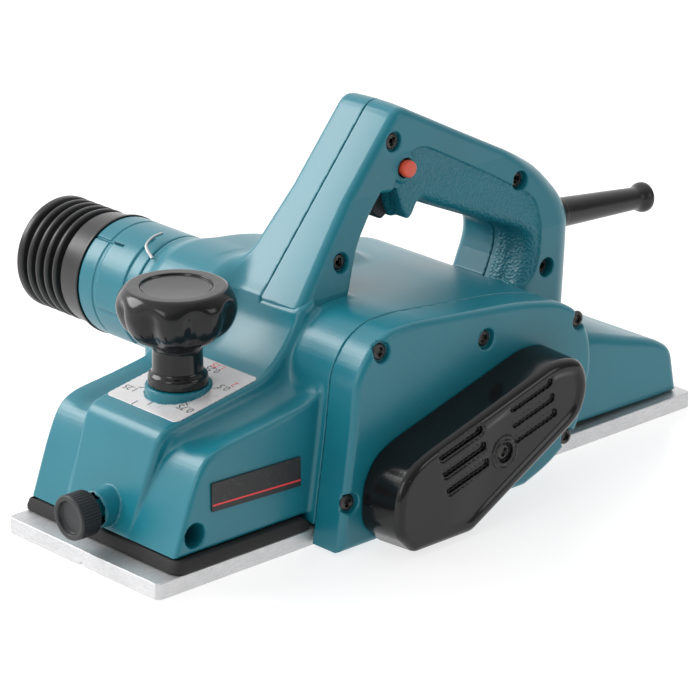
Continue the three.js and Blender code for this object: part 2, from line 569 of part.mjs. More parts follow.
const knobProfile = [
  [0, KNOB_SEAT + GAP], [14.2, KNOB_SEAT + GAP], [14.2, KNOB_SEAT + 5.6], [11.8, KNOB_SEAT + 7],
  [11.7, KNOB_SEAT + 19], [18, KNOB_SEAT + 25], [KNOB_RADIUS - 1.5, KNOB_SEAT + 33.5],
  [KNOB_RADIUS, KNOB_SEAT + 36.8], [KNOB_RADIUS - 1, KNOB_SEAT + 42], [KNOB_RADIUS - 5.6, KNOB_TOP],
  [17.5, KNOB_TOP], [17, KNOB_TOP - 1.6], [0, KNOB_TOP - 1.6],
];
const SCALLOP = { count: 8, radius: 12, reach: KNOB_RADIUS + 9.5 };
const scallops = Array.from({ length: SCALLOP.count }, (_, i) => {
  const turn = ((i + 0.5) * 2 * Math.PI) / SCALLOP.count;
  const x = KNOB_X + SCALLOP.reach * Math.cos(turn);
  const y = SCALLOP.reach * Math.sin(turn);
  return shaftZ(x, y, SCALLOP.radius, KNOB_SEAT + 20, KNOB_TOP + 9, 12);
});
const screwRoom = shaftZ(KNOB_X, 0, 5 + GAP, 50, KNOB_SEAT + 20, 20);
add('depth_knob', cut(aboutZ(knobProfile, KNOB_X, 0, 32), [...scallops, screwRoom]), BLACK);
add('knob_disc', aboutZ(ring(5, 16.5, KNOB_TOP - 1.6 + GAP, KNOB_TOP - 0.3), KNOB_X, 0, 36), GREY);
add('adjusting_screw', shaftZ(KNOB_X, 0, 5, SHOE_TOP + 4.5, KNOB_SEAT + 20 - GAP, 20), STEEL);

// ---- Thumb screw for the edge guide ----
const thumbShank = shaftX(0, THUMB_Z, 4, 4, ROD.x - ROD.radius - 0.5, 16);
add('thumb_screw', shaftX(0, THUMB_Z, 11, -7, 5, 24).add(thumbShank), BLACK);

// ---- Badge on the belt side of the nose ----
const badge = outline([[35, 33], [89.5, 30.7], [89.5, 45.7], [35, 47]]);
add('badge_plate', slab(badge, -NOSE_HALF - GAP - 0.8, -NOSE_HALF - GAP), BLACK);

// ---- Chip outlet ----
const nozzleTube = [
  [NOZZLE_RADIUS - WALL, NOZZLE.from], [NOZZLE_RADIUS, NOZZLE.from], [NOZZLE_RADIUS, NOZZLE.seam],
  [NOZZLE_RADIUS - WALL, NOZZLE.seam], [NOZZLE_RADIUS - WALL, NOZZLE.from],
];
add('chip_nozzle', aboutY(nozzleTube, NOZZLE.x, NOZZLE.z, 32), TEAL);

// The soft cuff: a flange, a plain band, then ribs down to the mouth.
const CUFF_RIBS = 5;
const cuffLength = NOZZLE.end - NOZZLE.seam - GAP;
function cuffProfile() {
  const start = NOZZLE.seam + GAP;
  const outer = [[NOZZLE_RADIUS + 0.5, 0], [NOZZLE_RADIUS + 0.5, 3], [NOZZLE_RADIUS - 1.5, 3.5],
    [NOZZLE_RADIUS - 1.5, 20]];
  const pitch = (cuffLength - 20) / CUFF_RIBS;
  for (let rib = 0; rib < CUFF_RIBS; rib += 1) {
    const low = 20 + rib * pitch;
    outer.push([NOZZLE_RADIUS - 4.5, low + pitch * 0.25], [NOZZLE_RADIUS - 4.5, low + pitch * 0.4],
      [NOZZLE_RADIUS - 1, low + pitch * 0.65], [NOZZLE_RADIUS - 1, low + pitch]);
  }
  const inner = [[NOZZLE_RADIUS - 7, cuffLength], [NOZZLE_RADIUS - 7, 0]];
  const all = [...outer, ...inner, outer[0]];
  return all.map(([radius, along]) => [radius, start + along]);
}
add('nozzle_cuff', aboutY(cuffProfile(), NOZZLE.x, NOZZLE.z, 24), RUBBER);

// A bent wire that clips the outlet to the housing.
const clipPath = new THREE.CatmullRomCurve3([
  new THREE.Vector3(NOZZLE.x - 20, NOZZLE.from - 4, NOZZLE.z + NOZZLE_RADIUS - 5),
  new THREE.Vector3(NOZZLE.x - 18, NOZZLE.from + 3, NOZZLE.z + NOZZLE_RADIUS - 1),
  new THREE.Vector3(NOZZLE.x - 12, NOZZLE.from + 5, NOZZLE.z + NOZZLE_RADIUS + 1.6),
  new THREE.Vector3(NOZZLE.x - 6, NOZZLE.from + 5, NOZZLE.z + NOZZLE_RADIUS + 2.4),
]);
const clipSection = new THREE.Shape(circle(0, 0, 0.8, 8));
const clipWire = new THREE.ExtrudeGeometry(clipSection, { steps: 10, extrudePath: clipPath });
add('wire_clip', solid(clipWire).subtract(shaftY(NOZZLE, NOZZLE_RADIUS + GAP, 0, 300, 40)), STEEL);

// ---- Cord guard ----
const guard = [
  [CORD.bore, -23], [9, -23], [9, -20], [CORD.radius, -20], [CORD.radius, 2],
  [CORD.radius - 0.4, 12], [5.9, 52], [5.7, 58], [7.6, 62], [7.6, 65], [CORD.bore, 65],
  [CORD.bore, -23],
];
add('cord_guard', guardTurn(guard, 20), RUBBER);

// ---- Trigger, lock button and switch ----
add('trigger', cut(slab(TRIGGER, -TRIGGER_HALF, TRIGGER_HALF, 1), [
  shaftY(TRIGGER_PIVOT, 1.5 + GAP, -20, 20, 12)]), GREY);
add('trigger_pin', shaftY(TRIGGER_PIVOT, 1.5, -TRIGGER_HALF - 1, TRIGGER_HALF + 1, 12), STEEL);
add('lock_button', shaftY(LOCK, LOCK.radius, -GRIP_HALF - 4.3, -GRIP_HALF + 8, 20), ORANGE);
add('switch_body', box(202, 228, -9, 9, 137, 157), BLACK);

// ---- Cutter drum, across the machine ----
const BODY_RADIUS = CUT_RADIUS - 1.5;
const BLADE = { depth: 15, thickness: 3, half: HALF - 1 };
const CLAMP = { depth: 12, thickness: 6 };
const DRUM_JOURNAL = 7.2;
const DRUM_STUB = 5.5;

// One blade, and under it its clamp, for the side of the drum that faces the rear. grow widens
// them into the slots they sit in, which run out through the drum's ends and its rim.
function bladeBox(grow) {
  return box(CUT_RADIUS - BLADE.depth - grow, CUT_RADIUS + 9 * grow,
    -BLADE.half - 9 * grow, BLADE.half + 9 * grow, -grow, BLADE.thickness + grow);
}
function clampBox(grow) {
  return box(BODY_RADIUS - CLAMP.depth - grow, BODY_RADIUS + 9 * grow,
    -BLADE.half - 9 * grow, BLADE.half + 9 * grow, -CLAMP.thickness - GAP - grow, grow - GAP);
}
const ontoDrum = (piece, turned) => piece.rotate([0, turned, 0]).translate([DRUM.x, 0, DRUM.z]);
const drumBody = union([
  shaftY(DRUM, BODY_RADIUS, -BLADE.half, BLADE.half, 32),
  shaftY(DRUM, DRUM_JOURNAL, -HALF - 10, HALF + 9),
  shaftY(DRUM, DRUM_STUB, CASE_Y - 21, 0),
]);
const bladeSlots = bladeBox(GAP).add(clampBox(GAP));
add('drum', cut(drumBody, [ontoDrum(bladeSlots, 0), ontoDrum(bladeSlots, 180)]), STEEL);
const rimCylinder = shaftY({ x: 0, z: 0 }, BODY_RADIUS, -99, 99, 32);
[0, 180].forEach((turned, i) => {
  add(`blade_${i + 1}`, ontoDrum(bladeBox(0), turned), STEEL);
  add(`blade_clamp_${i + 1}`, ontoDrum(clampBox(0).intersect(rimCylinder), turned), DARK_STEEL);
});

// Ball bearings: a plain ring each, in the pockets of the case and the housing.
const MOTOR_SHAFT = 5;
function bearing(name, centre, bore, outer, from) {
  add(name, aboutY(ring(bore + GAP, outer, from, from + 8), centre.x, centre.z), STEEL);
}
bearing('drum_bearing_belt_side', DRUM, DRUM_JOURNAL, 15, SEAM_Y - 9);
bearing('drum_bearing_chip_side', DRUM, DRUM_JOURNAL, 15, BAY_Y + 0.6);
bearing('motor_bearing_belt_side', MOTOR, MOTOR_SHAFT, 13, SEAM_Y - 9);
bearing('motor_bearing_chip_side', MOTOR, MOTOR_SHAFT, 13, BAY_Y - 8.2);

// ---- Belt drive ----
const BELT = { near: CASE_Y - 6, far: CASE_Y - 20, thickness: 2.6 };
function pulley(name, centre, radius, bore, look) {
  const rim = radius + 2.8;
  const profile = [[bore, BELT.far - 1.6], [rim, BELT.far - 1.6], [rim, BELT.far - 0.4],
    [radius, BELT.far - 0.4], [radius, BELT.near + 0.4], [rim, BELT.near + 0.4],
    [rim, BELT.near + 1.6], [bore, BELT.near + 1.6], [bore, BELT.far - 1.6]];
  add(name, aboutY(profile, centre.x, centre.z), look);
}
pulley('drum_pulley', DRUM, DRUM_PULLEY_RADIUS, DRUM_STUB + GAP, ALUMINIUM);
pulley('motor_pulley', MOTOR, MOTOR_PULLEY_RADIUS, MOTOR_SHAFT + GAP, STEEL);

// The open loop around both pulleys: two arcs joined by their common tangents.
function loopAround(grow) {
  const big = DRUM_PULLEY_RADIUS + grow;
  const small = MOTOR_PULLEY_RADIUS + grow;
  const span = Math.hypot(BELT_CENTRES.x, BELT_CENTRES.z);
  const along = Math.atan2(BELT_CENTRES.z, BELT_CENTRES.x);
  const lean = Math.acos((big - small) / span);
  const arc = (centre, radius, from, to) =>
    new THREE.EllipseCurve(centre.x, centre.z, radius, radius, from, to).getPoints(14);
  return [
    ...arc(DRUM, big, along + lean, along - lean + 2 * Math.PI),
    ...arc(MOTOR, small, along - lean, along + lean),
  ];
}
add('drive_belt', slab(loopAround(GAP + BELT.thickness), BELT.far, BELT.near)
  .subtract(slab(loopAround(GAP), BELT.far - 5, BELT.near + 5)), RUBBER);

// ---- Motor, lying across behind the drum ----
const STATOR_RADIUS = 31;
const CORE_RADIUS = 19;
const FAN = { from: SEAM_Y + 10, to: SEAM_Y + 22, blades: 8 };
const COMMUTATOR = { from: BAY_Y - 26.5, to: BAY_Y - 13.5 };
const CORE = { from: FAN.to + 7, to: COMMUTATOR.from - 2 };
const motorRing = (inner, outer, from, to, sides = 24) =>
  aboutY(ring(inner, outer, from, to), MOTOR.x, MOTOR.z, sides);
add('armature_shaft', shaftY(MOTOR, MOTOR_SHAFT, CASE_Y - 21.5, BAY_Y - 0.6), STEEL);
add('armature_core', motorRing(MOTOR_SHAFT + GAP, CORE_RADIUS, CORE.from, CORE.to), DARK_STEEL);
add('commutator', motorRing(MOTOR_SHAFT + GAP, 11, COMMUTATOR.from, COMMUTATOR.to), COPPER);
add('stator',
  motorRing(CORE_RADIUS + 1.2, STATOR_RADIUS, CORE.from + 1, CORE.to - 1, 28), DARK_STEEL);
const fanBlade = box(9, 27, FAN.from, FAN.to - 1, -0.8, 0.8);
add('fan', union([
  motorRing(MOTOR_SHAFT + GAP, 28, FAN.to - 2, FAN.to),
  motorRing(MOTOR_SHAFT + GAP, 9.5, FAN.from, FAN.to),
  ...Array.from({ length: FAN.blades }, (_, i) =>
    fanBlade.rotate([0, (i * 360) / FAN.blades, 0]).translate([MOTOR.x, 0, MOTOR.z])),
]), BLACK);
const BRUSH_Y = (COMMUTATOR.from + COMMUTATOR.to) / 2;
for (const [side, name] of [[1, 'upper'], [-1, 'lower']]) {
  const radial = (from, to, halfX, halfY) => {
    const levels = [MOTOR.z + side * from, MOTOR.z + side * to];
    return box(MOTOR.x - halfX, MOTOR.x + halfX, BRUSH_Y - halfY, BRUSH_Y + halfY,
      Math.min(...levels), Math.max(...levels));
  };
  const channel = radial(10, 30, 3.2 + GAP, 4.2 + GAP);
  add(`brush_holder_${name}`, radial(14, 32, 5, 6).subtract(channel), COPPER);
  add(`carbon_brush_${name}`, radial(11.4, 26, 3.2, 4.2), CARBON);
}

const group = new THREE.Group();
group.add(machine);
export default group;
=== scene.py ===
import math

import bpy
import numpy as np
from mathutils import Matrix, Vector


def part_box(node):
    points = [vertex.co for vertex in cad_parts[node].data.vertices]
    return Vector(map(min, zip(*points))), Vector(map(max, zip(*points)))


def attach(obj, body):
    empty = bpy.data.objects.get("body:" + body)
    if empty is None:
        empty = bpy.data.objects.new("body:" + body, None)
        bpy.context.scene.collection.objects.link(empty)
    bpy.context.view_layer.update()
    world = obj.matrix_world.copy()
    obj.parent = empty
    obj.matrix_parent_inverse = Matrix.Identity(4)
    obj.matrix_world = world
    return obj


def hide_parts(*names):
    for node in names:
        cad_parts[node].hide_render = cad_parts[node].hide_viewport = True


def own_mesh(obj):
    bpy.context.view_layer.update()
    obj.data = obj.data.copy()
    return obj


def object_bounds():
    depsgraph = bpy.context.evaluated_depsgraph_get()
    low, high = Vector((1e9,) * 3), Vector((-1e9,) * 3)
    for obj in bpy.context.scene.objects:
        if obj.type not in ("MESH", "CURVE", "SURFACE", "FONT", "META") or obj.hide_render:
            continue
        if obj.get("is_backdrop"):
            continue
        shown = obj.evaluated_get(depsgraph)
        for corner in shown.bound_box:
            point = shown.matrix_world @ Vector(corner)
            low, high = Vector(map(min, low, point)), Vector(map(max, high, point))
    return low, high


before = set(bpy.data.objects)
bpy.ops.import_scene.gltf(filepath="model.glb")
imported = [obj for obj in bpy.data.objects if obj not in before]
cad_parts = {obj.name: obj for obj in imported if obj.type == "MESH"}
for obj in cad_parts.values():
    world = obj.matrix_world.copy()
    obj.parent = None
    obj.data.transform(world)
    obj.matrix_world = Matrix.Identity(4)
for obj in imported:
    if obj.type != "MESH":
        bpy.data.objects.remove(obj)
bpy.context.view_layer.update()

# Sole: two milled aluminium castings, the front shoe and the rear shoe, with the cutter between
# them. The rear shoe is screwed up into the housing from below; the front one slides on its post.

class Field:
    """A shader value over the surface. Arithmetic on it adds Math nodes."""
    def __init__(self, finish, socket):
        self.finish = finish
        self.socket = socket

    def math(self, operation, first, second):
        return self.finish.node("ShaderNodeMath", {"operation": operation}, {0: first, 1: second})

    def __add__(self, other):
        return self.math("ADD", self, other)

    def __sub__(self, other):
        return self.math("SUBTRACT", self, other)

    def __rsub__(self, other):
        return self.math("SUBTRACT", other, self)

    def __mul__(self, other):
        return self.math("MULTIPLY", self, other)

    __radd__ = __add__
    __rmul__ = __mul__


class Finish:
    """A material around one Principled shader, with its constants on the shader's own sockets."""
    def __init__(self, name, **constants):
        self.material = bpy.data.materials.new(name)
        self.material.use_nodes = True
        self.nodes = self.material.node_tree.nodes
        self.shader = self.nodes["Principled BSDF"]
        for socket, value in constants.items():
            self.shader.inputs[socket.replace("_", " ")].default_value = value
        self.place = self.node("ShaderNodeTexCoord", output="Object")

    def node(self, kind, settings=None, inputs=None, output=0):
        """Any other node, from its settings and the values or links of its sockets."""
        made = self.nodes.new(kind)
        for setting, value in (settings or {}).items():
            if setting == "stops":
                for stop, (position, shade) in zip(made.color_ramp.elements, value):
                    stop.position = position
                    stop.color = shade
            else:
                setattr(made, setting, value)
        for socket, value in (inputs or {}).items():
            if isinstance(value, Field):
                self.material.node_tree.links.new(value.socket, made.inputs[socket])
            else:
                made.inputs[socket].default_value = value
        return Field(self, made.outputs[output])

    def stretched(self, x, y, z):
        """Object coordinates scaled along each axis."""
        return self.node("ShaderNodeVectorMath", {"operation": "MULTIPLY"},
                         {0: self.place, 1: (x, y, z)})

    def noise(self, per_metre, detail=3.0, roughness=0.55, place=None):
        """Soft noise from 0 to 1 with that many features in a metre."""
        return self.node("ShaderNodeTexNoise", {}, {
            "Vector": place or self.place, "Scale": per_metre, "Detail": detail,
            "Roughness": roughness})

    def between(self, value, low, high):
        """0 where value is under low, 1 over high, smooth between."""
        return self.node("ShaderNodeMapRange", {"interpolation_type": "SMOOTHSTEP"},
                         {"Value": value, "From Min": low, "From Max": high})

    def blend(self, amount, first, second):
        """The first colour turning into the second as amount goes from 0 to 1."""
        return self.node("ShaderNodeMix", {"data_type": "RGBA"},
                         {"Factor": amount, 6: first, 7: second}, output=2)

    def relief(self, height, depth, over=None):
        """A bump of that depth in metres, on top of an earlier one."""
        inputs = {"Height": height, "Distance": depth, "Strength": 1.0}
        if over:
            inputs["Normal"] = over
        return self.node("ShaderNodeBump", {}, inputs)

    def drive(self, **fields):
        """Links fields to the shader's sockets and returns the finished material."""
        for socket, field in fields.items():
            self.material.node_tree.links.new(
                field.socket, self.shader.inputs[socket.replace("_", " ")])
        return self.material


def milled_aluminium():
    """Bright cast aluminium with fine milling lines along x and darker specks."""
    finish = Finish("MilledAluminium", Metallic=0.75, Roughness=0.4)
    lines = finish.noise(1.0, 5.0, 0.65, finish.stretched(160.0, 2600.0, 2600.0))
    across = finish.noise(1.0, 4.0, 0.6, finish.stretched(2200.0, 300.0, 2200.0))
    cloud = finish.noise(38.0, 4.0)
    specks = finish.between(finish.noise(900.0, 2.0), 0.69, 0.76)
    tone = lines * 0.5 + across * 0.3 + cloud * 0.2
    shade = finish.blend(finish.between(tone, 0.3, 0.7),
                         (0.50, 0.50, 0.505, 1), (0.80, 0.80, 0.81, 1))
    return finish.drive(
        Base_Color=finish.blend(specks * 0.5, shade, (0.22, 0.21, 0.2, 1)),
        Roughness=tone * 0.4 + 0.22,
        Normal=finish.relief(lines + across, 0.00012))


def dress(finish, body_slot, *nodes, soften=0.0003):
    """Gives CAD nodes a finish and breaks their edges."""
    for name in nodes:
        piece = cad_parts[name]
        for held in piece.material_slots:
            held.material = finish
        weld = piece.modifiers.new("Weld", "WELD")
        weld.merge_threshold = 2e-6
        edge = piece.modifiers.new("BrokenEdge", "BEVEL")
        edge.width = soften
        edge.segments = 2
        edge.limit_method = "ANGLE"
        edge.angle_limit = math.radians(38)
        edge.harden_normals = True


ALUMINIUM = milled_aluminium()
dress(ALUMINIUM, "shoe_aluminium", "front_shoe", "rear_shoe", soften=0.0005)


# Rubber skirt: a soft moulded band that closes the gap between the front shoe and the nose. It is built
# as a fixed band on the housing and does not change with the shoe's slide.

NOSE_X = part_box("front_shoe")[0].x * 1000


def curve_through(corners, steps=8):
    """An outline from corners (u, v, blend), each corner rounded over blend millimetres. The
    last corner leads back to the first, unless both are plain ends of a profile."""
    points = []
    flat = [np.array(corner[:2], float) for corner in corners]
    for i, corner in enumerate(corners):
        here = flat[i]
        if len(corner) < 3:
            points.append(here)
            continue
        ends = []
        for other in (flat[i - 1], flat[(i + 1) % len(flat)]):
            edge = other - here
            length = np.hypot(*edge)
            ends.append(here + edge / length * min(corner[2], 0.48 * length))
        for t in np.linspace(0, 1, steps + 1):
            points.append(ends[0] * (1 - t) ** 2 + 2 * here * t * (1 - t) + ends[1] * t ** 2)
    return np.array(points)


def to_metres(points):
    """Millimetres counted from the front edge of the sole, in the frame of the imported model."""
    placed = np.array(points, float).reshape(-1, 3)
    placed[:, 0] += NOSE_X
    return placed / 1000


def as_piece(name, mesh, body):
    """An object around a mesh, riding on its body."""
    piece = bpy.data.objects.new(name, mesh)
    bpy.context.scene.collection.objects.link(piece)
    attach(piece, body)
    return piece


def make_piece(name, points, faces, finish, body, smooth_under=35):
    """A piece from points in millimetres and faces, sharp where they meet at a wider angle."""
    mesh = bpy.data.meshes.new(name)
    mesh.from_pydata(to_metres(points).tolist(), [], [list(map(int, face)) for face in faces])
    mesh.validate()
    mesh.shade_smooth()
    mesh.set_sharp_from_angle(angle=math.radians(smooth_under))
    mesh.materials.append(finish)
    return as_piece(name, mesh, body)


def grid_faces(rings, around, closed_rings):
    """Quads between rings of points; the last ring joins the first where closed_rings is true."""
    faces = []
    for ring in range(rings if closed_rings else rings - 1):
        upper = (ring + 1) % rings
        for i in range(around):
            j = (i + 1) % around
            faces.append((ring * around + i, ring * around + j, upper * around + j, upper * around + i))
    return faces


def matte_rubber(name="SoftRubber", shade=0.012, roughness=0.62):
    """Black rubber with a dull bloom, faint mottling and fine moulded grain."""
    finish = Finish(name, Specular_IOR_Level=0.45)
    cloud = finish.noise(45.0, 4.0)
    dust = finish.between(finish.noise(620.0, 3.0), 0.62, 0.8)
    grain = finish.noise(2600.0, 2.0)
    tone = finish.blend(cloud, (shade * 0.7,) * 3 + (1,), (shade * 1.5,) * 3 + (1,))
    return finish.drive(
        Base_Color=finish.blend(dust * 0.25, tone, (0.07, 0.07, 0.068, 1)),
        Roughness=cloud * 0.22 + (roughness - 0.1),
        Normal=finish.relief(grain, 0.00003))


RUBBER = matte_rubber()
skirt_plan = curve_through([(11.3, -55.5, 7), (92, -55.5), (92, 55.5), (11.3, 55.5, 2)], 10)
skirt_section = [(0.4, 8.5), (0.0, 9.0), (0.0, 11.0), (1.3, 14.2), (2.2, 14.7), (6.0, 14.7),
                 (6.0, 8.5)]


def inwards(outline, distance):
    """The outline moved towards its inside."""
    before = outline - np.roll(outline, 1, axis=0)
    after = np.roll(outline, -1, axis=0) - outline
    keep = (np.hypot(*before.T) > 1e-6)
    outline, before, after = outline[keep], before[keep], after[keep]
    before /= np.hypot(*before.T)[:, None]
    after /= np.hypot(*after.T)[:, None]
    normal = np.stack([-before[:, 1] - after[:, 1], before[:, 0] + after[:, 0]], 1)
    return outline + normal * (distance / (1 + (before * after).sum(1)))[:, None]


skirt_rings = [np.column_stack([inwards(skirt_plan, depth), np.full(len(skirt_plan), height)])
               for depth, height in skirt_section]
skirt = make_piece(
    "rubber_skirt_band", np.concatenate(skirt_rings),
    grid_faces(len(skirt_rings), len(skirt_plan), True), RUBBER, "housing")
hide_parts("rubber_skirt")
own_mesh(skirt)

# Shoe springs: two coils of bright wire that push the front shoe down. Here they are fixed coils on the
# housing, as long as their CAD parts.


def ground_steel(name, shade, roughness, grain_scale):
    """Steel with fine grinding lines, faint clouding and a little tarnish."""
    finish = Finish(name, Metallic=1.0)
    lines = finish.noise(1.0, 4.0, 0.6, finish.stretched(*grain_scale))
    cloud = finish.noise(70.0, 4.0)
    tone = finish.blend(lines * 0.6 + cloud * 0.4, tuple(s * 0.72 for s in shade) + (1,), shade + (1,))
    return finish.drive(
        Base_Color=tone,
        Roughness=lines * 0.25 + (roughness - 0.1),
        Normal=finish.relief(lines, 0.00003))


STEEL = ground_steel("GroundSteel", (0.62, 0.62, 0.63), 0.3, (2500.0, 200.0, 2500.0))
for side, spring_node in ((-1, "shoe_spring_belt_side"), (1, "shoe_spring_chip_side")):
    low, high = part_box(spring_node)
    turns, wire, coil = 4, 0.9, 4.5
    centre = [(low[i] + high[i]) * 500 for i in range(3)]
    path_z = (low.z * 1000 + wire, high.z * 1000 - wire)
    spring_rings = []
    for t in np.linspace(0, 1, turns * 24 + 1):
        angle = 2 * math.pi * turns * t
        out = np.array([math.cos(angle), math.sin(angle), 0])
        middle = np.array([centre[0] - NOSE_X, centre[1], path_z[0] + t * (path_z[1] - path_z[0])])
        middle = middle + out * coil
        for turn in np.linspace(0, 2 * math.pi, 10, endpoint=False):
            spring_rings.append(middle + wire * (out * math.cos(turn) + np.array([0, 0, math.sin(turn)])))
    rings = turns * 24 + 1
    spring_faces = grid_faces(rings, 10, False)
    spring_faces += [tuple(range(9, -1, -1)), tuple(range((rings - 1) * 10, rings * 10))]
    spring = make_piece(f"coil_{spring_node}", spring_rings, spring_faces, STEEL, "housing",
                        60)
    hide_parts(spring_node)
    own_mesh(spring)


# Main housing: one large teal moulding with the nose, the block over the drum and the motor, the
# tail over the rear shoe and the chip-side half of the handle. Its shape is described as a
# distance to the surface, in millimetres from the front edge of the sole, then meshed.


def step(value, low, high):
    """0 under low, 1 over high, smooth between."""
    t = np.clip((value - low) / (high - low), 0, 1)
    return t * t * (3 - 2 * t)


def to_outline(outline, u, v):
    """Distance from points to a closed outline, negative inside."""
    nearest = np.float32(1e9)
    sign = np.float32(1)
    for (au, av), (bu, bv) in zip(outline.tolist(), np.roll(outline, 1, axis=0).tolist()):
        eu, ev = bu - au, bv - av
        wu, wv = u - au, v - av
        t = np.clip((wu * eu + wv * ev) / max(eu * eu + ev * ev, 1e-12), 0, 1)
        nearest = np.minimum(nearest, (wu - eu * t) ** 2 + (wv - ev * t) ** 2)
        over, under, left = v >= av, v < bv, eu * wv > ev * wu
        sign = np.where((over & under & left) | (~over & ~under & ~left), -sign, sign)
    return sign * np.sqrt(nearest)


def overlap(a, b, radius):
    """Where both shapes are, with the edge between them rounded."""
    outside = np.hypot(np.maximum(a + radius, 0), np.maximum(b + radius, 0))
    return np.minimum(np.maximum(a, b) + radius, 0) + outside - radius


def join(a, b, blend):
    """Both shapes as one, with a fillet between them."""
    near = np.maximum(blend - np.abs(a - b), 0) / blend
    return np.minimum(a, b) - near * near * blend / 4


def carve(a, b, blend):
    """The first shape without the second, with a soft rim."""
    return -join(-a, b, blend)


def cut(a, b):
    """The first shape without the second, with a sharp rim."""
    return np.maximum(a, -b)


def along_y(centre, radius, x, z):
    """A cylinder across the machine."""
    return np.hypot(x - centre[0], z - centre[1]) - radius


def span(value, low, high):
    """A slab between two stations."""
    return np.maximum(low - value, value - high)


DRUM_AXIS = (137.0, 27.3)
MOTOR_AXIS = (213.0, 57.0)
NOZZLE_AXIS = (126.0, 82.3)
ROD_AXIS = (25.5, 24)
KNOB_X = 60.5
THUMB_Z = 26
BLOCK_SIDE = curve_through([
    (93, 1.5), (101.5, 54), (105.5, 85, 6), (115, 98, 6), (127, 104, 6), (143, 104.3, 6),
    (182, 100, 12), (213.7, 96.5, 12), (238, 91, 8), (252, 83, 7), (260, 68, 6), (261.5, 52, 6),
    (251, 19, 8), (232, 7, 8), (216, 1.5)], 6)
TAIL_SIDE = curve_through([
    (246, 8.5), (246, 62), (281, 55.5, 14), (333, 41, 12), (345.5, 33, 5), (350, 8.5)], 6)
HANDLE_SIDE = curve_through([
    (113, 84), (112.1, 105), (183.5, 189.5, 8), (226, 167, 6), (262, 148.2, 8),
    (284, 135, 9), (297, 120, 7), (300.5, 110, 5), (299.5, 90.7), (296.5, 46), (238, 46),
    (238, 84)], 6)
GRIP_OPENING = curve_through([
    (142, 80), (144, 100), (147, 109, 6), (154, 126, 6), (164, 139, 4), (172, 147), (182, 146),
    (184.5, 135, 3), (187.5, 129.5, 2), (192, 130.5, 3), (198, 137.5, 4), (207, 132.5, 5),
    (266.5, 106, 6), (267, 97, 6), (264.5, 90), (260, 80)], 5)
NOSE_SIDE = curve_through([
    (13.3, 15), (24.8, 46, 12), (31.5, 58, 7), (40, 62.3, 7), (66, 65.3, 10), (98, 70.3, 8),
    (107, 78, 6), (118, 92), (118, 15)], 6)
RIDGE_SIDE = curve_through([
    (13.6, 15), (25.7, 61.5, 6), (29.5, 66.4, 4), (37, 68.4, 3), (90, 77.1, 6), (98, 82.5, 8),
    (106.5, 91.5, 8), (114.5, 105), (124, 110), (124, 15)], 6)
RIDGE_ACROSS = curve_through([
    (-19, 14), (31, 14), (28, 60, 8), (27.5, 75), (27.5, 110), (-27.5, 110), (-27.5, 75),
    (-26.5, 60, 8)], 6)
HOOD_SIDE = curve_through([
    (94, 50), (93.5, 84, 8), (99, 103, 8), (110, 112.5, 8), (124, 114.6, 8), (160, 110.3, 12),
    (196, 98), (196, 50)], 6)


def nose_field(x, y, z):
    """The nose, with a raised ridge along its middle and a shallow trough on either side."""
    trough = 3.0 * np.exp(-((np.abs(y) - 38) / 7.5) ** 2) * step(x, 30, 44)
    flank = np.where(y < 0, -52 - y, y - 53.5)
    body = overlap(to_outline(NOSE_SIDE, x, z + trough), flank, np.where(y < 0, 2.6, 1.4))
    ridge = overlap(to_outline(RIDGE_SIDE, x, z), to_outline(RIDGE_ACROSS, y, z), 3.2)
    whole = join(body, ridge, 0.9 + 7.5 * step(z, 53, 64))
    return overlap(whole, 15 - z, 0.6)


def block_field(x, y, z):
    """The block over the drum and the motor, open towards the belt side."""
    return overlap(to_outline(BLOCK_SIDE, x, z), y - 62, 5)


def handle_field(x, y, z):
    """Both halves of the looped handle, rounder round its grip than over its front."""
    outer = to_outline(HANDLE_SIDE, x, z) + 0.9 * (y / 20) ** 2
    half = np.interp(z, [40, 107, 126, 148, 200], [26, 26, 23, 20, 20])
    flank = np.abs(y) - half
    frame_part = overlap(outer, flank, 4 + 9 * step(x, 255, 290))
    return overlap(frame_part, -to_outline(GRIP_OPENING, x, z), 2.5 + 4.5 * step(x, 184, 206))


